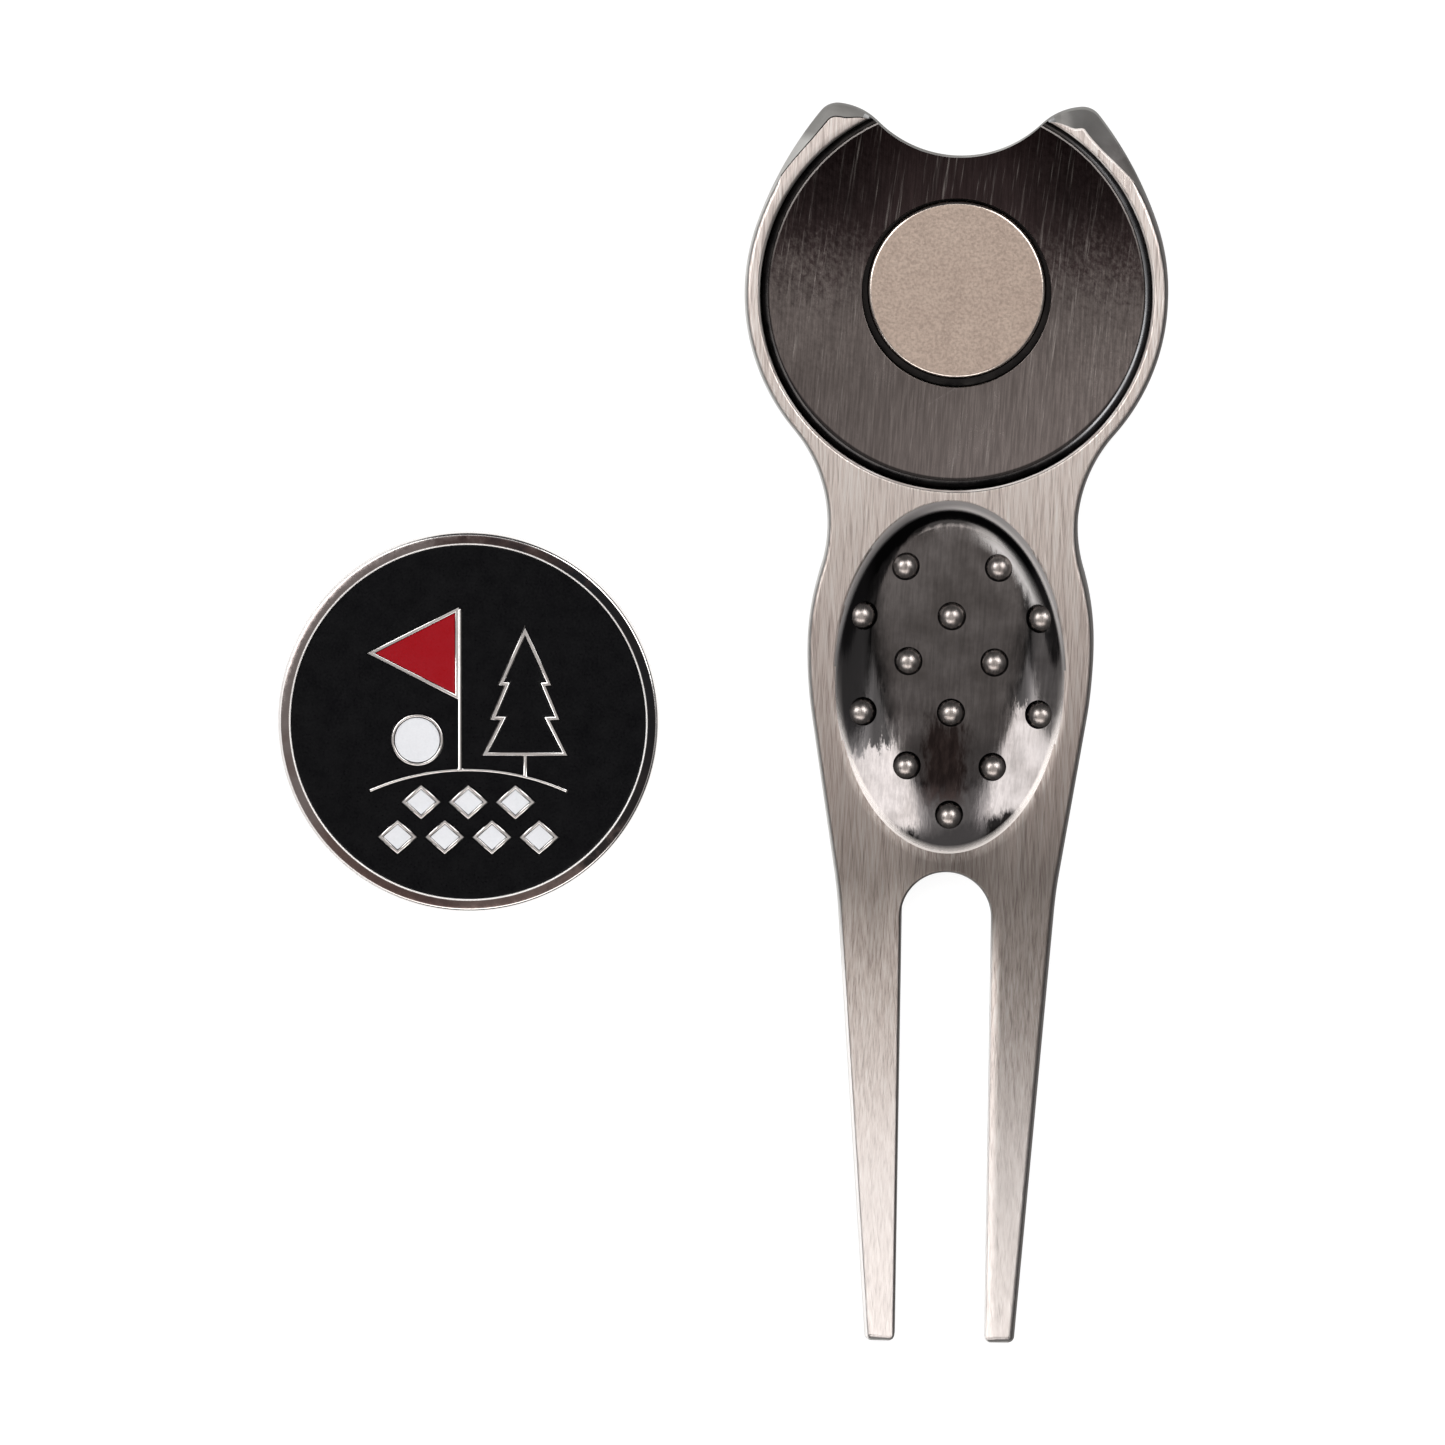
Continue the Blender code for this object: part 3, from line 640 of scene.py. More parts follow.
def grow(corners, distance):
    """An outline, anticlockwise, moved outwards by a distance, with sharp corners."""
    grown = []
    for i, corner in enumerate(corners):
        point = Vector(corner)
        before = (point - Vector(corners[i - 1])).normalized()
        after = (Vector(corners[(i + 1) % len(corners)]) - point).normalized()
        normal_a, normal_b = Vector((before.y, -before.x)), Vector((after.y, -after.x))
        mean = (normal_a + normal_b).normalized()
        grown.append(tuple(point + mean * distance / max(LEAST_MITRE, mean.dot(normal_b))))
    return grown


def tree_outline():
    """A fir of three tiers, anticlockwise from the foot's right corner."""
    right = []
    for tier, (foot, half_width) in enumerate(TREE_TIERS):
        if tier:
            right.append((TREE_TIERS[tier - 1][1] * TIER_SHOULDER_SHARE, foot))
        right.append((half_width, foot))
    left = [(-x, y) for x, y in reversed(right)]
    return [(x + TREE_CENTRE_X, y) for x, y in right + [(0.0, TREE_TOP_Y)] + left]


def diamond_outlines():
    wide, high = DIAMOND_HALF_WIDTH, DIAMOND_HALF_HEIGHT
    outlines = []
    for y, number in DIAMOND_ROWS:
        for i in range(number):
            x = (i - (number - 1) / 2) * DIAMOND_PITCH
            outlines.append([(x + wide, y), (x, y + high), (x - wide, y), (x, y - high)])
    return outlines


def post_outline(x, top):
    """An upright line from the mound to the given height."""
    left, right = x - LINE_WIDTH / 2, x + LINE_WIDTH / 2
    foot = MOUND_TOP_Y - MOUND_RADIUS + math.sqrt(MOUND_RADIUS**2 - x**2) - LINE_WIDTH / 4
    return [(left, foot), (right, foot), (right, top), (left, top)]


def mound_outline():
    half_angle = math.degrees(math.asin(MOUND_HALF_WIDTH / MOUND_RADIUS))
    centre = (0.0, MOUND_TOP_Y - MOUND_RADIUS)
    half = LINE_WIDTH / 2
    outer = arc(centre, MOUND_RADIUS + half, 90 - half_angle, 90 + half_angle, 48)
    inner = arc(centre, MOUND_RADIUS - half, 90 + half_angle, 90 - half_angle, 48)
    return outer + inner


def line_outlines():
    """The raised lines that are no cell's outline, by name."""
    return {
        "mound_line": mound_outline(),
        "flagstick_line": post_outline(FLAGSTICK_X, FLAGSTICK_TOP_Y),
        "trunk_line": post_outline(TREE_CENTRE_X, TREE_TIERS[0][0] - LINE_WIDTH / 2),
    }


def cell_outlines():
    """The outline of each coloured cell, by name."""
    ball = arc(BALL_CENTRE, BALL_RADIUS, 0, 357.5, 143)
    cells = {"pennant": list(PENNANT_CORNERS), "tree": tree_outline(), "ball": ball}
    for number, outline in enumerate(diamond_outlines(), 1):
        cells[f"diamond_{number}"] = outline
    return cells


def loft(name, rings):
    """A closed solid through (outline, z) rings of the same number of points, foot first."""
    points, faces = [], []
    for outline, z in rings:
        points += [(x, y, z) for x, y in outline]
    faces = ring_faces(len(rings), len(rings[0][0]))
    return make_solid(name, points, faces)


def softened(outline, foot, flare, lift):
    """Rings up from a foot, over a rounded edge that turns inwards, or outwards with a flare of 1."""
    rings = [(outline, foot), (outline, MARKER_THICKNESS - LINE_SOFTNESS)]
    for k in range(1, LINE_EDGE_STEPS + 1):
        angle = math.pi / 2 * k / LINE_EDGE_STEPS
        shift = flare * LINE_SOFTNESS * (1 - math.cos(angle))
        rings.append((grow(outline, shift), MARKER_THICKNESS - LINE_SOFTNESS * (1 - math.sin(angle)) + lift))
    return rings


def raised(name, outline):
    """A solid bar on the field, with a rounded top edge."""
    return loft(name, softened(outline, CELL_FLOOR_Z - LINE_ROOT, -1, 0))


def cell_cutter(name, outline):
    """Hollows a cell out of its raised outline, and rounds the outline's inner top edge."""
    rings = softened(outline, CELL_FLOOR_Z, 1, CELL_LIFT)
    return loft(name, rings + [(rings[-1][0], MARKER_THICKNESS + CUTTER_SPARE)])


def place_on_marker(thing):
    thing.data.transform(Matrix.Rotation(math.radians(MARKER_TURN), 4, "Z"))
    thing.location = (MARKER_CENTRE[0] * MM, MARKER_CENTRE[1] * MM, 0)
    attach(thing, "marker")


def make_marker_blank(plating):
    edge = MARKER_EDGE_RADIUS
    field = MARKER_RADIUS - RIM_WIDTH
    lip = RIM_LIP_RADIUS
    profile = arc((MARKER_RADIUS - edge, edge), edge, -90, 0, 6)
    profile += arc((MARKER_RADIUS - edge, MARKER_THICKNESS - RIM_CROWN - edge), edge, 0, 84, 8)
    profile += [(field + RIM_CREST_WIDTH, MARKER_THICKNESS - RIM_CREST_DROP)]
    profile += arc((field + lip, MARKER_THICKNESS - lip), lip, 90, 180, 6)
    blank = lathe("struck_marker", profile + [(field, CELL_FLOOR_Z)], ROUND_STEPS)
    for name, outline in cell_outlines().items():
        combine(blank, raised(f"{name}_line", grow(outline, LINE_WIDTH)), "UNION")
        combine(blank, cell_cutter(f"{name}_cell", outline), "DIFFERENCE")
    for name, outline in line_outlines().items():
        combine(blank, raised(name, outline), "UNION")
    blank.data.materials.append(plating)
    shade(blank, 32)
    place_on_marker(blank)
    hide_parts("marker_blank")


def enamel_edge():
    """(inset, z) up the side of a fill and over its edge, which is drawn up where it meets the metal."""
    edge = [(ENAMEL_GAP, ENAMEL_FOOT_Z)]
    for share in (0.0, 0.3, 0.6, 1.0):
        edge.append((ENAMEL_GAP + CLIMB_WIDTH * share, ENAMEL_TOP_Z + CLIMB_HEIGHT * (1 - share) ** 2))
    return edge


def make_enamel(black, red, white):
    paints = {"pennant": (red, "red_enamel"), "tree": (black, "black_enamel")}
    for name, outline in cell_outlines().items():
        piece = loft(f"{name}_enamel", [(grow(outline, -inset), z) for inset, z in enamel_edge()])
        paint, slot = paints.get(name, (white, "white_enamel"))
        piece.data.materials.append(paint)
        shade(piece, 60)
        place_on_marker(piece)
        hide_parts(f"enamel_{name}")
    radius = MARKER_RADIUS - RIM_WIDTH
    field = lathe("field_enamel", [(radius - inset, z) for inset, z in enamel_edge()], ROUND_STEPS)
    outlines = [grow(outline, LINE_WIDTH) for outline in cell_outlines().values()]
    for outline in outlines + list(line_outlines().values()):
        outline = grow(outline, ENAMEL_GAP)
        rings = [(outline, ENAMEL_FOOT_Z - CUTTER_SPARE), (outline, CLEARANCE_TOP_Z)]
        combine(field, loft("clearance", rings), "DIFFERENCE")
    field.data.materials.append(black)
    shade(field, 60)
    place_on_marker(field)
    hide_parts("enamel_field")


# ---------------------------------------------------------------- materials


def rgba(colour):
    """A colour socket's value, from an (r, g, b) or a grey's value. A socket stays as it is."""
    if isinstance(colour, bpy.types.NodeSocket):
        return colour
    return (*colour, 1.0) if isinstance(colour, (tuple, list)) else (colour, colour, colour, 1.0)


class Look:
    """A material with a Principled shader, and short ways to add the nodes that feed it.

    Its x and y are the place in millimetres, and facing holds the axes of the surface's normal.
    """

    def __init__(self, name, **values):
        self.material = bpy.data.materials.new(name)
        self.material.use_nodes = True
        self.tree = self.material.node_tree
        self.shader = self.feed(self.tree.nodes["Principled BSDF"], **values)
        coordinates = self.add("ShaderNodeTexCoord").outputs
        self.place = coordinates["Object"]
        axes = self.feed(self.add("ShaderNodeSeparateXYZ"), Vector=self.place).outputs
        self.x, self.y = self.times(axes["X"], 1000), self.times(axes["Y"], 1000)
        self.facing = self.feed(self.add("ShaderNodeSeparateXYZ"), Vector=coordinates["Normal"]).outputs

    def add(self, kind, **settings):
        node = self.tree.nodes.new(kind)
        for name, value in settings.items():
            setattr(node, name, value)
        return node

    def link(self, source, socket):
        """Links a socket to its source, or sets it to a value."""
        if isinstance(source, bpy.types.NodeSocket):
            self.tree.links.new(source, socket)
        else:
            socket.default_value = source

    def feed(self, node, **sources):
        """Links or sets a node's inputs by name, with _ for a space."""
        for name, source in sources.items():
            self.link(source, node.inputs[name.replace("_", " ")])
        return node

    def noise(self, scale=1.0, detail=3.0, roughness=0.6, vector=None):
        node = self.add("ShaderNodeTexNoise")
        self.feed(node, Vector=vector or self.place, Scale=scale, Detail=detail, Roughness=roughness)
        return node.outputs["Fac"]

    def grain(self, across, along, slant, **settings):
        """Noise, per metre, finer across the brushing than along it and turned by slant degrees."""
        turn = self.add("ShaderNodeVectorRotate", rotation_type="Z_AXIS")
        self.feed(turn, Vector=self.place, Angle=math.radians(slant))
        mapping = self.add("ShaderNodeMapping")
        self.feed(mapping, Vector=turn.outputs["Vector"], Scale=(across, along, across))
        return self.noise(vector=mapping.outputs["Vector"], **settings)

    def map(self, value, low, high, to_low=0, to_high=1):
        node = self.add("ShaderNodeMapRange")
        self.feed(node, Value=value, From_Min=low, From_Max=high, To_Min=to_low, To_Max=to_high)
        return node.outputs["Result"]

    def math(self, operation, *values):
        node = self.add("ShaderNodeMath", operation=operation)
        for value, socket in zip(values, node.inputs):
            self.link(value, socket)
        return node.outputs["Value"]

    def times(self, product, *factors):
        for factor in factors:
            product = self.math("MULTIPLY", product, factor)
        return product

    def plus(self, first, second):
        return self.math("ADD", first, second)

    def minus(self, first, second):
        return self.math("SUBTRACT", first, second)

    def most(self, first, *others):
        for other in others:
            first = self.math("MAXIMUM", first, other)
        return first

    def size_of(self, value):
        return self.math("ABSOLUTE", value)

    def swing(self, noise, size):
        """A noise made to waver about zero."""
        return self.times(self.minus(noise, 0.5), size)

    def reach(self, x=0, y=0, half_width=1.0, half_length=1.0):
        """The distance in plan from a point, or the share of the way to an ellipse's rim."""
        over = self.times(self.minus(self.x, x), 1 / half_width)
        along = self.times(self.minus(self.y, y), 1 / half_length)
        return self.math("SQRT", self.plus(self.math("POWER", over, 2), self.math("POWER", along, 2)))

    def slide(self, share, first, second):
        """From the first number to the second."""
        return self.plus(self.times(share, self.minus(second, first)), first)

    def blend(self, share, first, second, kind="MIX"):
        """From the first colour to the second."""
        node = self.add("ShaderNodeMix", data_type="RGBA", blend_type=kind)
        self.link(share, node.inputs[0])
        self.link(rgba(first), node.inputs[6])
        self.link(rgba(second), node.inputs[7])
        return node.outputs[2]

    def tint(self, colour, factor):
        """A colour darkened by a factor."""
        return self.blend(1.0, colour, factor, "MULTIPLY")

    def ramp(self, value, *stops):
        """A colour ramp through (position, colour) stops."""
        node = self.feed(self.add("ShaderNodeValToRGB"), Fac=value)
        elements = node.color_ramp.elements
        while len(elements) < len(stops):
            elements.new(1.0)
        for element, (position, colour) in zip(elements, stops):
            element.position = position
            element.color = rgba(colour)
        return node.outputs["Color"]

    def bump(self, height, distance, **under):
        """Relief of a height in metres. Normal is the relief that it is added to."""
        node = self.feed(self.add("ShaderNodeBump"), Height=height, Distance=distance, Strength=1.0, **under)
        return node.outputs["Normal"]

    def done(self, colour, rough, **more):
        self.feed(self.shader, Base_Color=colour, Roughness=rough, **more)
        return self.material


def brushed_finish():
    """Nickel brushed along the tool, with painted light brightest on the head and the tips, painted shade
    darkest above the fork, on the right side, round the top of the slot and along the recess's upper-left
    edge, and a painted highlight on the right tine's inner edge.
    """
    look = Look("brushed_nickel", Metallic=1.0)
    fine = look.grain(9000, 260, 3, detail=5, roughness=0.7)
    cross = look.grain(6500, 160, -5, detail=4)
    broad = look.grain(1500, 50, 2, detail=2)
    scratch = look.grain(5200, 90, -7, detail=1)
    grain = look.plus(look.times(fine, 0.6), look.times(cross, 0.4))
    metal = look.ramp(
        grain,
        (0.37, (0.42, 0.355, 0.33)), (0.5, (0.81, 0.72, 0.67)), (0.61, (0.98, 0.93, 0.89)),
    )
    metal = look.blend(look.map(look.y, -45, -60, 0.0, 0.75), metal, (0.755, 0.715, 0.695))
    place = look.map(look.plus(look.y, look.swing(broad, 7)), -70, 14)
    # Painted light and shade along the length: brightest on the head and the tips, darkest above the fork.
    painted_light_and_shade = look.ramp(
        place,
        (0.0, 0.92), (0.16, 0.95), (0.29, (0.66, 0.65, 0.64)), (0.37, (0.39, 0.38, 0.37)),
        (0.44, (0.46, 0.44, 0.43)), (0.56, (0.65, 0.63, 0.62)), (0.66, (0.79, 0.78, 0.77)),
        (0.85, 1),
    )
    # Painted shade on the right side, deepest around the fork.
    right_side_shade = look.ramp(
        place,
        (0.0, 0.9), (0.1, 0.8), (0.2, 0.62), (0.3, 0.55), (0.38, 0.72), (0.46, 0.92), (0.6, 1),
    )
    painted_light_and_shade = look.tint(painted_light_and_shade, look.blend(look.map(look.x, -1.0, 2.5), 1, right_side_shade))
    # Painted shade round the top of the slot.
    painted_light_and_shade = look.tint(painted_light_and_shade, look.map(look.reach(0.0, -38.0), 1.0, 3.6, 0.62, 1.0))
    # A painted highlight along the right tine's inner edge.
    inner_highlight_line = look.times(
        look.map(look.x, 3.75, 3.3, 0, 0.95),
        look.map(look.y, -41.5, -46),
        look.map(look.x, 2.5, 2.9),
    )
    painted_light_and_shade = look.blend(inner_highlight_line, painted_light_and_shade, 1.15)
    # Painted shade on the top face along the recess's edge, widest on the upper left.
    rim_shade_width = look.times(look.map(look.y, 0, 6, 0.02, 0.45), look.map(look.x, -1, -6, 0.01, 1))
    into = look.minus(look.reach(), RECESS_RADIUS + 0.15)
    painted_light_and_shade = look.tint(painted_light_and_shade, look.map(look.math("DIVIDE", into, rim_shade_width), 0, 1, 0.55, 1))
    rough = look.map(grain, 0.38, 0.62, 0.42, 0.33)
    normal = look.bump(look.map(scratch, 0.58, 0.75), 0.000008)
    normal = look.bump(fine, 0.000008, Normal=normal)
    return look.done(look.tint(metal, painted_light_and_shade), rough, Normal=normal)


def wear_and_highlight_edge_finish():
    """The bright line along an edge, partly rubbed wear and partly a painted highlight, dull enough to catch
    light from all round, with painted shade where it turns into the recess.
    """
    look = Look("wear_and_highlight_edge", Metallic=0.35)
    grain = look.noise(scale=4200, detail=3)
    cloud = look.noise(scale=420, detail=2)
    # Bright cream, partly rubbed wear and partly a painted highlight.
    metal = look.ramp(cloud, (0.38, (0.5, 0.44, 0.41)), (0.6, (0.86, 0.8, 0.76)))
    # Painted shade where the edge turns down into the recess, narrower at the bottom and on the right.
    reach = look.reach()
    shift = look.plus(look.map(look.y, -12, -4, 0.25, 0), look.map(look.x, -3, 6, 0, 0.1))
    metal = look.tint(metal, look.map(look.plus(reach, shift), 13.0, 13.2, 0.04, 1))
    # Painted shade, near black, on the upper left.
    upper_left = look.times(
        look.map(look.x, -1, -6, 0, 0.75),
        look.map(look.y, 1, 6),
        look.map(reach, 13.5, 13.4),
    )
    metal = look.blend(upper_left, metal, 0.02)
    rough = look.map(grain, 0.3, 0.7, 0.38, 0.5)
    return look.done(metal, rough, Normal=look.bump(grain, 0.000004))


def recess_finish():
    """Dark plating, nearly black towards the notch, with fine lengthwise scratches, painted shade at the foot
    of the wall and a painted highlight along it, strongest on the upper half.
    """
    look = Look("dark_nickel_recess", Metallic=1.0)
    fine = look.grain(9000, 420, 3, detail=5)
    scratch = look.grain(6500, 160, 8, detail=2)
    cloud = look.noise(scale=300, detail=5, roughness=0.7)
    mottle = look.grain(3600, 2400, -30, detail=5, roughness=0.8)
    from_middle = look.size_of(look.x)
    shift = look.times(look.swing(mottle, 18), look.map(from_middle, 3, 9, 0.2, 1))
    shift = look.plus(shift, look.swing(cloud, 5))
    metal = look.ramp(
        look.map(look.plus(look.y, shift), -13, 11),
        (0.0, (0.37, 0.32, 0.305)), (0.3, (0.31, 0.267, 0.252)), (0.52, (0.21, 0.18, 0.17)),
        (0.7, (0.07, 0.05, 0.05)), (1.0, (0.022, 0.014, 0.014)),
    )
    metal = look.tint(metal, look.map(fine, 0.38, 0.62, 0.72, 1.0))
    marks = look.times(look.map(scratch, 0.58, 0.75, 0, 0.3), look.map(fine, 0.4, 0.6, 0.1, 1))
    metal = look.blend(marks, metal, (0.75, 0.7, 0.66))
    upper_sides = look.times(look.map(from_middle, 3, 7), look.map(look.y, 2, 6, 0, 0.5))
    lower_left = look.times(look.map(look.x, -8, 8, 0.3, 0.02), look.map(look.y, -2, -6))
    for dimmed in (upper_sides, lower_left):
        metal = look.tint(metal, look.minus(1.0, dimmed))
    reach = look.reach()
    # Painted shade on the floor at the foot of the wall, reaching further in at the bottom.
    ring = look.plus(reach, look.map(look.y, -5, -9, 0, 0.12))
    metal = look.tint(metal, look.map(ring, 12.4, 12.5, 1, 0.1))
    # A painted highlight: a lighter, duller line along the foot of the wall, strongest on the upper half.
    wavering = look.plus(reach, look.swing(mottle, 0.12))
    painted_highlight = look.times(
        look.map(wavering, 12.36, 12.4),
        look.map(wavering, 12.46, 12.5, 1, 0),
        look.map(look.y, 1, 6, 0.08, 0.9),
    )
    metal = look.blend(painted_highlight, metal, (0.33, 0.3, 0.285))
    rough = look.plus(look.map(cloud, 0.35, 0.7, 0.16, 0.24), look.map(fine, 0.3, 0.7, 0, 0.06))
    rough = look.slide(painted_highlight, rough, 0.5)
    normal = look.bump(look.map(scratch, 0.6, 0.75), 0.000003)
    normal = look.bump(fine, 0.000003, Normal=normal)
    return look.done(metal, rough, Normal=normal, Metallic=look.slide(painted_highlight, 1.0, 0.1))


def dish_finish():
    """Dark plating left in the dish, with painted shade blackest on its upper wall, sides and lower end, a
    painted dark reflection down the middle of its lower half, a painted highlight at its lower rim and
    painted highlight and shade on its upper lip.
    """
    look = Look("dark_nickel_dish", Metallic=1.0)
    x, y = look.x, look.y
    from_middle = look.size_of(x)
    fine = look.grain(6000, 500, 2, detail=4)
    cloud = look.noise(scale=420, detail=4)
    ragged = look.grain(2600, 700, 0, detail=4, roughness=0.7)
    share = look.reach(0, DISH_CENTRE_Y, DISH_HALF_WIDTH, DISH_HALF_LENGTH)

    def frayed(value, size):
        return look.plus(value, look.swing(ragged, size))

    metal = look.ramp(cloud, (0.35, (0.16, 0.145, 0.14)), (0.65, (0.25, 0.23, 0.225)))
    metal = look.tint(metal, look.map(fine, 0.38, 0.6, 0.8, 1.0))
    band = look.math("MINIMUM", look.map(y, -19, -23, 0, 0.2), look.map(y, -30, -27.5, 0, 0.2))
    lower_right = look.math("MINIMUM", look.map(x, 2, 4, 0, 0.2), look.map(y, -27.5, -30, 0, 0.2))
    metal = look.tint(metal, look.minus(1.0, look.most(band, lower_right)))

    # Painted shade, near black, on the upper wall and the sides, a little lighter on the steep side walls and
    # faint at the far right.
    above = look.map(frayed(look.minus(y, look.times(x, 0.3)), 5), -29.2, -28.6)
    beside = look.minus(frayed(from_middle, 1.5), look.map(y, -22, -29, 4.2, 3.0))
    sides = look.most(look.map(beside, 0, 1.2), look.map(frayed(share, 0.05), 0.83, 0.86))
    dark = look.times(sides, above, look.map(x, 5.3, 6.0, 0.97, 0.1))
    wall = look.map(from_middle, 5.0, 5.8)
    painted_shade_colour = look.blend(wall, (0.018, 0.017, 0.017), (0.08, 0.075, 0.075))
    metal = look.blend(dark, metal, painted_shade_colour)
    # Painted shade, near black, at the lower end.
    foot = frayed(look.map(x, -1, 4, -35.9, -34.4), 2)
    metal = look.blend(look.map(look.minus(y, foot), 0.3, -0.3), metal, (0.005, 0.0045, 0.0045))

    # A painted dark reflection between the two bright patches of the lower half.
    between = frayed(look.size_of(look.minus(x, 0.3)), 1.5)
    between = look.minus(between, look.map(y, -29, -36, 3.2, 2.2))
    between = look.times(look.map(between, -0.3, 0.3, 0.8, 0), look.map(y, -27.5, -30.5))
    metal = look.blend(between, metal, (0.06, 0.055, 0.055))
    # A painted dark brown reflection of the camera down the middle of the lower half.
    start = frayed(y, 4)
    camera_reflection = look.times(
        look.map(frayed(look.size_of(look.plus(x, 0.25)), 3), 1.0, 1.8, 0.9, 0),
        look.map(start, -29.2, -27.9, 1, 0),
        look.map(start, -34.6, -33.2),
    )
    reflection_brown = look.ramp(ragged, (0.4, (0.022, 0.014, 0.013)), (0.62, (0.052, 0.036, 0.033)))
    metal = look.blend(camera_reflection, metal, reflection_brown)

    # A painted highlight along the lower rim.
    painted_highlight = look.times(look.map(share, 0.89, 0.95), look.map(y, -24, -33))
    metal = look.blend(painted_highlight, metal, (0.8, 0.74, 0.7))
    frosted = look.times(
        look.map(frayed(share, 0.12), 0.75, 0.82),
        look.map(share, 0.82, 0.89, 1, 0),
        look.map(x, 0.8, 3),
        look.map(y, -22.5, -20.5),
    )
    metal = look.blend(frosted, metal, (0.5, 0.48, 0.47))
    # Painted highlight and shade on the upper lip: dark to grey on the left, a bright line on the right that
    # dims lower down.
    lip = look.times(look.map(share, 0.925, 0.945), look.map(y, -30, -22))
    left_lip_shading = look.ramp(share, (0.94, (0.12, 0.115, 0.115)), (1.0, (0.42, 0.39, 0.38)))
    right_lip_highlight = look.ramp(
        share,
        (0.935, (0.75, 0.71, 0.69)), (0.965, (0.36, 0.34, 0.335)), (1.0, (0.3, 0.28, 0.27)),
    )
    right_lip_highlight = look.tint(right_lip_highlight, look.map(y, -25, -19, 0.4, 1))
    metal = look.blend(lip, metal, look.blend(look.map(x, -3, 1), left_lip_shading, right_lip_highlight))

    # Duller and less metallic on the painted highlights, the lip and the lighter patch high on the right.
    wear_and_painted_light = look.most(painted_highlight, lip, frosted)
    rough = look.plus(look.map(cloud, 0.4, 0.7, 0.08, 0.15), look.map(fine, 0.4, 0.7, 0, 0.05))
    rough = look.slide(wear_and_painted_light, rough, 0.42)
    return look.done(metal, rough, Normal=look.bump(fine, 0.000003), Metallic=look.slide(wear_and_painted_light, 1.0, 0.3))


def stud_finish():
    """Domes rubbed bright on top, and dark round the foot, partly from plating left there and partly painted
    shade of the steep flanks.
    """
    look = Look("worn_studs", Metallic=1.0)
    fine = look.grain(8000, 900, 4, detail=3)
    metal = look.ramp(fine, (0.35, (0.34, 0.3, 0.28)), (0.7, (0.58, 0.53, 0.5)))
    # Bright where the dome is near level, rubbed bare; dark round the steep foot, partly plating left there
    # and partly painted shade.
    wear_and_painted_light = look.map(look.facing["Z"], 0.6, 0.73)
    metal = look.blend(wear_and_painted_light, (0.05, 0.045, 0.045), metal)
    rough = look.slide(wear_and_painted_light, 0.12, 0.3)
    return look.done(metal, rough, Normal=look.bump(fine, 0.000006))


def side_finish():
    """Satin sides, with painted light where they face left and painted shade where they face right or into
    the notch, and a painted highlight on the tines' left-facing edges.
    """
    look = Look("cast_side", Metallic=1.0, Specular_Tint=(0.4, 0.4, 0.39, 1))
    cloud = look.noise(scale=900, detail=5)
    # Painted light where the sides face left and painted shade where they face right.
    metal = look.ramp(
        look.plus(look.map(look.facing["X"], -1, 1), look.swing(cloud, 0.3)),
        (0.1, (0.72, 0.71, 0.69)), (0.4, (0.5, 0.49, 0.475)), (0.6, (0.3, 0.285, 0.275)),
        (0.85, (0.17, 0.16, 0.155)),
    )
    # Painted shade where the sides face into the notch.
    in_notch = look.times(look.map(look.y, 10, 10.6, 0, 0.8), look.map(look.facing["Y"], 0.1, 0.5))
    metal = look.blend(in_notch, metal, (0.3, 0.29, 0.28))
    # A painted highlight on the tines' left-facing edges.
    painted_highlight = look.times(
        look.map(look.facing["X"], -0.2, -0.5),
        look.map(look.y, -40, -46),
        look.map(look.facing["Z"], 0.15, 0.4),
    )
    metal = look.blend(painted_highlight, metal, (0.95, 0.92, 0.9))
    rough = look.map(cloud, 0.3, 0.7, 0.38, 0.5)
    return look.done(metal, rough, Normal=look.bump(cloud, 0.000008), Metallic=look.slide(painted_highlight, 1.0, 0.2))


# Near black: painted shade in the magnet's pocket, on the recess's wall and on the left horn's edge.
def painted_shade_finish():
    look = Look("painted_shade_black", Metallic=1.0, Specular_Tint=(0.15, 0.15, 0.15, 1))
    cloud = look.noise(scale=900, detail=4)
    metal = look.ramp(cloud, (0.35, (0.03, 0.028, 0.028)), (0.7, (0.06, 0.055, 0.053)))
    # Painted light on the right side of the recess's wall.
    right_wall_light = look.map(look.x, 7, 9.5, 0, 0.9)
    metal = look.blend(right_wall_light, metal, (0.2, 0.2, 0.205))
    rough = look.map(cloud, 0.3, 0.7, 0.2, 0.35)
    return look.done(metal, rough, Normal=look.bump(cloud, 0.000004))


def magnet_finish():
    look = Look("satin_magnet", Metallic=1.0)
    grain = look.noise(scale=5200, detail=3)
    cloud = look.noise(scale=500, detail=3)
    metal = look.ramp(cloud, (0.35, (0.55, 0.435, 0.364)), (0.7, (0.6, 0.48, 0.402)))
    metal = look.tint(metal, look.map(grain, 0.35, 0.62, 0.8, 1.0))
    edge = look.map(look.reach(), MAGNET_RADIUS - 0.3, MAGNET_RADIUS - 0.2)
    metal = look.blend(edge, metal, (0.7, 0.62, 0.56))
    rough = look.slide(edge, look.map(grain, 0.3, 0.7, 0.34, 0.42), 0.07)
    return look.done(metal, rough, Normal=look.bump(grain, 0.00001))


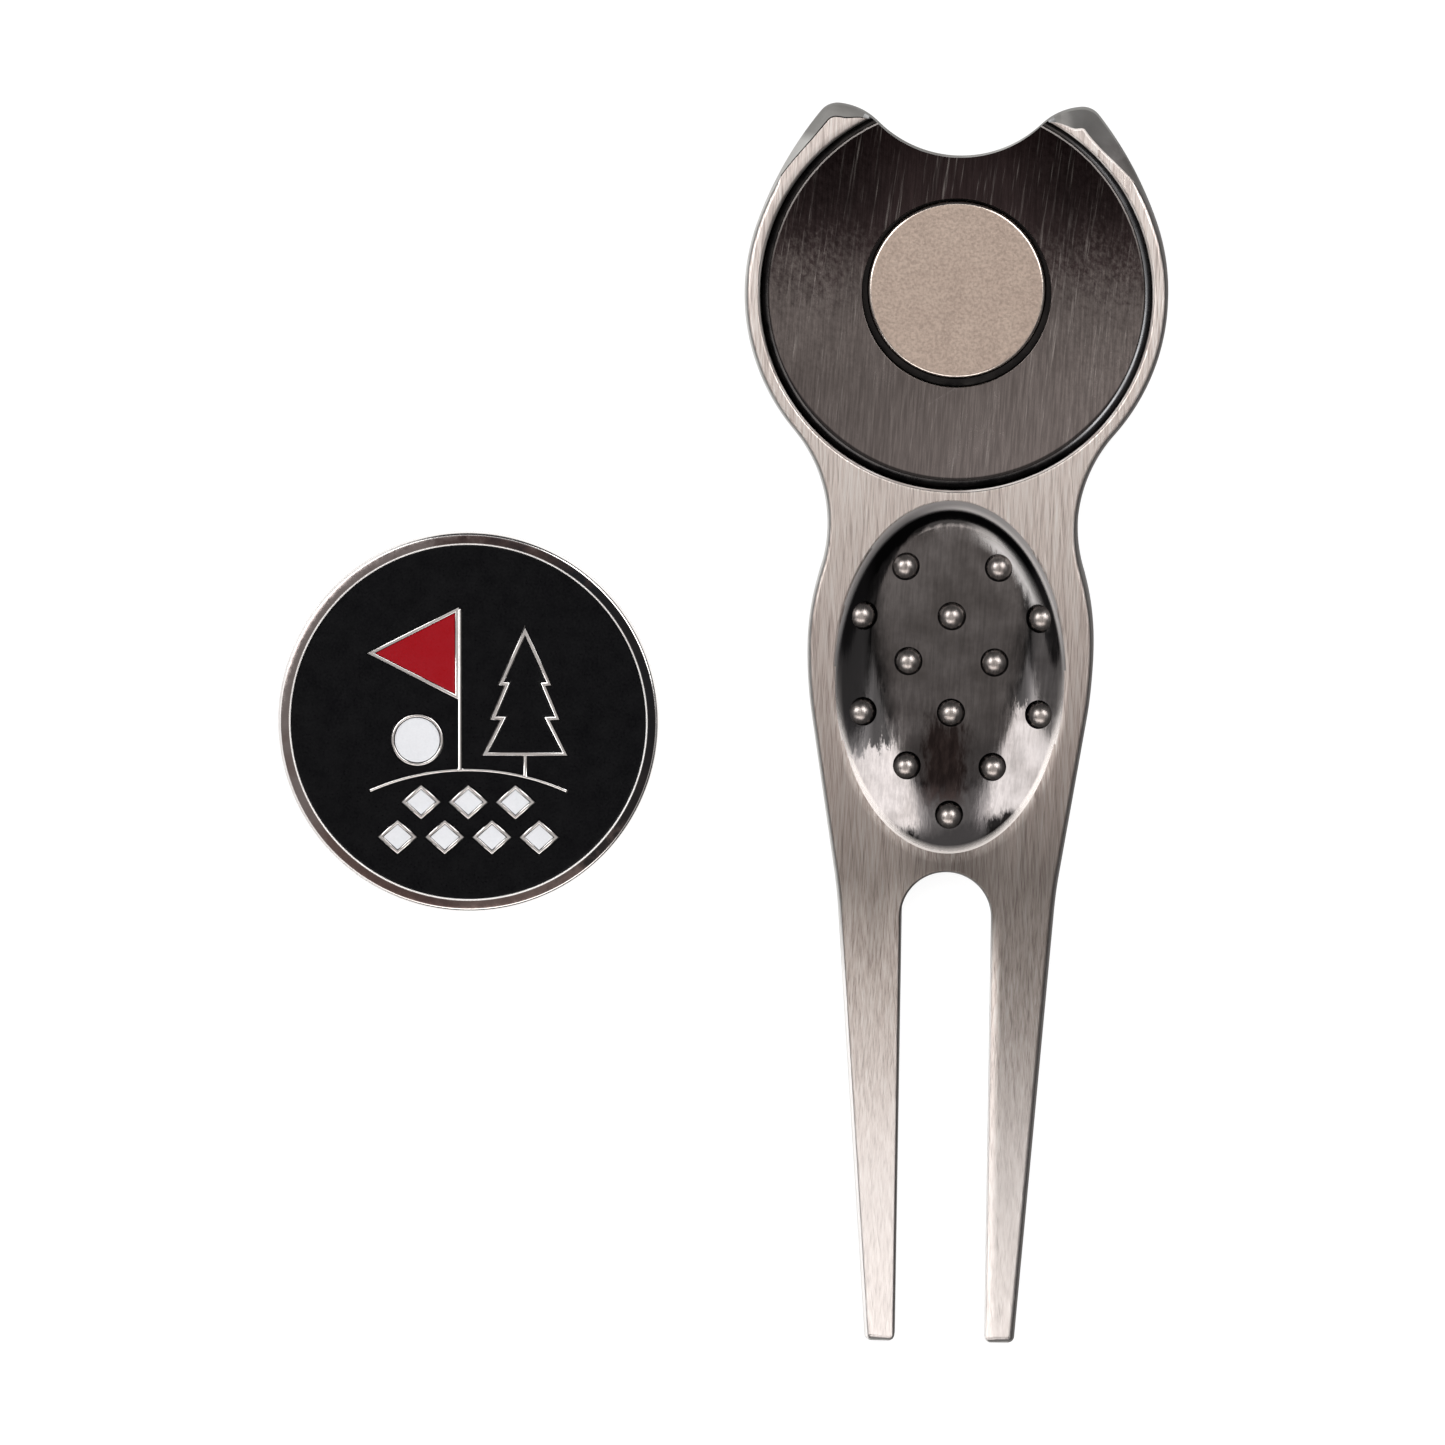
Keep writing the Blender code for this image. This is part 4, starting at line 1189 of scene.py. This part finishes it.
def polished_finish():
    """Polished nickel: bright on the raised lines and edges, with painted reflections in dark browns and
    blues round the flat of the rim and painted shade on the lines' flanks.
    """
    look = Look("polished_nickel", Metallic=1.0)
    fine = look.noise(scale=3000, detail=4)
    cloud = look.noise(scale=260, detail=5, roughness=0.7)
    reach = look.reach()
    bright = look.ramp(cloud, (0.35, (0.78, 0.74, 0.72)), (0.7, (0.92, 0.9, 0.88)))
    bearing = look.plus(look.math("ARCTAN2", look.y, look.x), look.swing(cloud, 3.0))
    # Painted reflections round the flat of the rim, changing with the bearing.
    painted_reflection = look.ramp(
        look.map(bearing, -math.pi, math.pi),
        (0.0, (0.3, 0.26, 0.25)), (0.12, (0.2, 0.14, 0.125)), (0.22, (0.13, 0.085, 0.08)),
        (0.34, (0.25, 0.19, 0.175)), (0.42, (0.05, 0.045, 0.045)), (0.55, (0.03, 0.03, 0.032)),
        (0.66, (0.03, 0.032, 0.038)), (0.74, (0.12, 0.085, 0.08)), (0.84, (0.3, 0.26, 0.25)),
        (1.0, (0.3, 0.26, 0.25)),
    )
    rim = look.times(look.map(reach, 11.92, 12.0), look.map(reach, 12.48, 12.53, 1, 0))
    metal = look.blend(rim, bright, painted_reflection)
    upright = look.facing["Z"]
    # Painted shade on the flanks of the raised lines.
    flank_shade = look.times(look.map(upright, 0.8, 0.97, 0.9, 0), look.map(reach, 11.7, 11.8, 1, 0))
    metal = look.blend(flank_shade, metal, (0.1, 0.085, 0.08))
    inner_highlight_line = look.times(look.map(reach, 11.8, 11.84), look.map(reach, 11.94, 11.98, 1, 0))
    left_edge = look.times(look.map(reach, 12.48, 12.54), look.map(look.x, -2, -7))
    back = look.map(upright, -0.5, -0.9)
    metal = look.blend(back, metal, (0.78, 0.74, 0.71))
    wear_and_painted_light = look.times(look.most(inner_highlight_line, left_edge), look.minus(1.0, back))
    rough = look.slide(wear_and_painted_light, look.map(fine, 0.35, 0.7, 0.08, 0.18), 0.35)
    rough = look.slide(back, rough, 0.4)
    return look.done(metal, rough, Normal=look.bump(fine, 0.000003), Metallic=look.slide(wear_and_painted_light, 1.0, 0.3))


def enamel_finish(name, colour, spread):
    """Satin enamel whose colour varies a little, with a fine stipple."""
    look = Look(name)
    grain = look.noise(scale=6500, detail=3)
    cloud = look.noise(scale=700, detail=4)
    mix = look.plus(look.times(grain, 0.5), look.times(cloud, 0.5))
    dark = [max(0.0, value - spread) for value in colour]
    light = [value + spread for value in colour]
    paint = look.ramp(mix, (0.35, dark), (0.65, light))
    rough = look.map(grain, 0.3, 0.7, 0.26, 0.4)
    return look.done(paint, rough, Normal=look.bump(grain, 0.000004), Specular_IOR_Level=0.07)


def adhesive_finish():
    look = Look("adhesive_film")
    cloud = look.noise(scale=800, detail=3)
    colour = look.ramp(cloud, (0.35, (0.55, 0.51, 0.38)), (0.7, (0.68, 0.65, 0.52)))
    return look.done(colour, look.map(cloud, 0.3, 0.7, 0.3, 0.5))


# ---------------------------------------------------------------- stage, light and camera

# The middle of the picture on the tool's top, and how the camera sees it
VIEW_CENTRE = (-15.1, -28.9, 3.0)
VIEW_WIDTH = 96.2
VIEW_DISTANCE = 1200.0
TILT_TO_NOTCH = 5.3
TILT_TO_RIGHT = 1.5
PICTURE_TURN = 0.894
SENSOR_WIDTH = 36.0
LIGHT_CENTRE = (0.0, -29.0, 4.6)
LIGHT_DISTANCE = 500.0
FLOOR_HALF_WIDTH = 3000.0
FLOOR_GAP = 0.02


def aim(thing, place, right, up, back):
    """Puts a light or camera at a place in millimetres, with its axes along three directions."""
    axes = Matrix((right, up, back)).transposed().to_4x4()
    thing.matrix_world = Matrix.Translation(place * MM) @ axes


def make_floor():
    half = FLOOR_HALF_WIDTH
    corners = [(-half, -half, 0), (half, -half, 0), (half, half, 0), (-half, half, 0)]
    floor = make_solid("floor", corners, [(0, 1, 2, 3)])
    floor.location.z = -FLOOR_GAP * MM
    look = Look("pale_floor", Emission_Color=(1, 1, 1, 1), Emission_Strength=0.86)
    floor.data.materials.append(look.done((0.2, 0.2, 0.2, 1), 0.9))


def softbox(name, azimuth, elevation, size, radiance, colour=(1, 1, 1)):
    """A rectangular light aimed at the middle of the object, of a size in metres, half a metre away.

    Azimuth 0 is +X and 90 is +Y; elevation 90 is overhead.
    """
    light = bpy.data.lights.new(name, "AREA")
    light.shape = "RECTANGLE"
    light.size, light.size_y = size
    light.energy = radiance * math.pi * size[0] * size[1]
    light.color = colour
    lamp = make_object(name, light)
    a, e = math.radians(azimuth), math.radians(elevation)
    away = Vector((math.cos(e) * math.cos(a), math.cos(e) * math.sin(a), math.sin(e)))
    side = Vector((-math.sin(a), math.cos(a), 0))
    aim(lamp, Vector(LIGHT_CENTRE) + away * LIGHT_DISTANCE, side, away.cross(side), away)
    lamp.visible_camera = False
    return lamp


def make_lights():
    softbox("overhead", 270, 72.5, (0.5, 0.566), 0.42, (1, 0.95, 0.92))
    softbox("high_card", 90, 72, (0.3, 0.08), 1.1)
    softbox("right_box", 40, 60, (0.27, 0.2), 4.0)
    softbox("left_box", 151, 58, (0.23, 0.2), 4.4)
    softbox("low_card", 218, 42, (0.1, 0.05), 3.0)
    softbox("left_card", 182, 46, (0.2, 0.22), 0.45)
    softbox("right_card", 358, 46, (0.2, 0.22), 0.22)
    tips = softbox("tip_box", 270, 60, (0.16, 0.06), 2.0, (1, 0.97, 0.95))
    tips.location = (-0.03, -0.14, 0.15)
    fill = softbox("matte_fill", 90, 70, (0.6, 0.6), 2.2)
    fill.visible_glossy = False
    world = bpy.data.worlds.new("studio")
    bpy.context.scene.world = world
    world.use_nodes = True
    background = world.node_tree.nodes["Background"]
    background.inputs["Color"].default_value = (0.95, 0.95, 1, 1)
    background.inputs["Strength"].default_value = 0.06


def make_camera():
    data = bpy.data.cameras.new("camera")
    data.sensor_width = SENSOR_WIDTH
    data.lens = SENSOR_WIDTH * VIEW_DISTANCE / VIEW_WIDTH
    data.clip_start, data.clip_end = 0.05, 20
    camera = make_object("camera", data)
    tilts = [math.tan(math.radians(tilt)) for tilt in (TILT_TO_RIGHT, TILT_TO_NOTCH)]
    away = Vector((*tilts, 1)).normalized()
    turn = math.radians(PICTURE_TURN)
    up = Vector((-math.sin(turn), math.cos(turn), 0))
    right = up.cross(away).normalized()
    aim(camera, Vector(VIEW_CENTRE) + away * VIEW_DISTANCE, right, away.cross(right), away)
    bpy.context.scene.camera = camera


def main():
    make_camera()
    finishes = [brushed_finish(), recess_finish(), dish_finish(), stud_finish(), side_finish()]
    finishes += [painted_shade_finish(), wear_and_highlight_edge_finish()]
    make_casting(finishes)
    make_magnet(magnet_finish())
    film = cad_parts["magnet_adhesive"]
    film.data.materials.clear()
    film.data.materials.append(adhesive_finish())
    make_marker_blank(polished_finish())
    black = enamel_finish("black_enamel", (0.002, 0.002, 0.0025), 0.0015)
    red = enamel_finish("red_enamel", (0.235, 0.001, 0.006), 0.003)
    white = enamel_finish("white_enamel", (0.575, 0.58, 0.6), 0.03)
    make_enamel(black, red, white)
    make_floor()
    make_lights()
    bpy.context.scene.view_settings.view_transform = "Standard"


main()
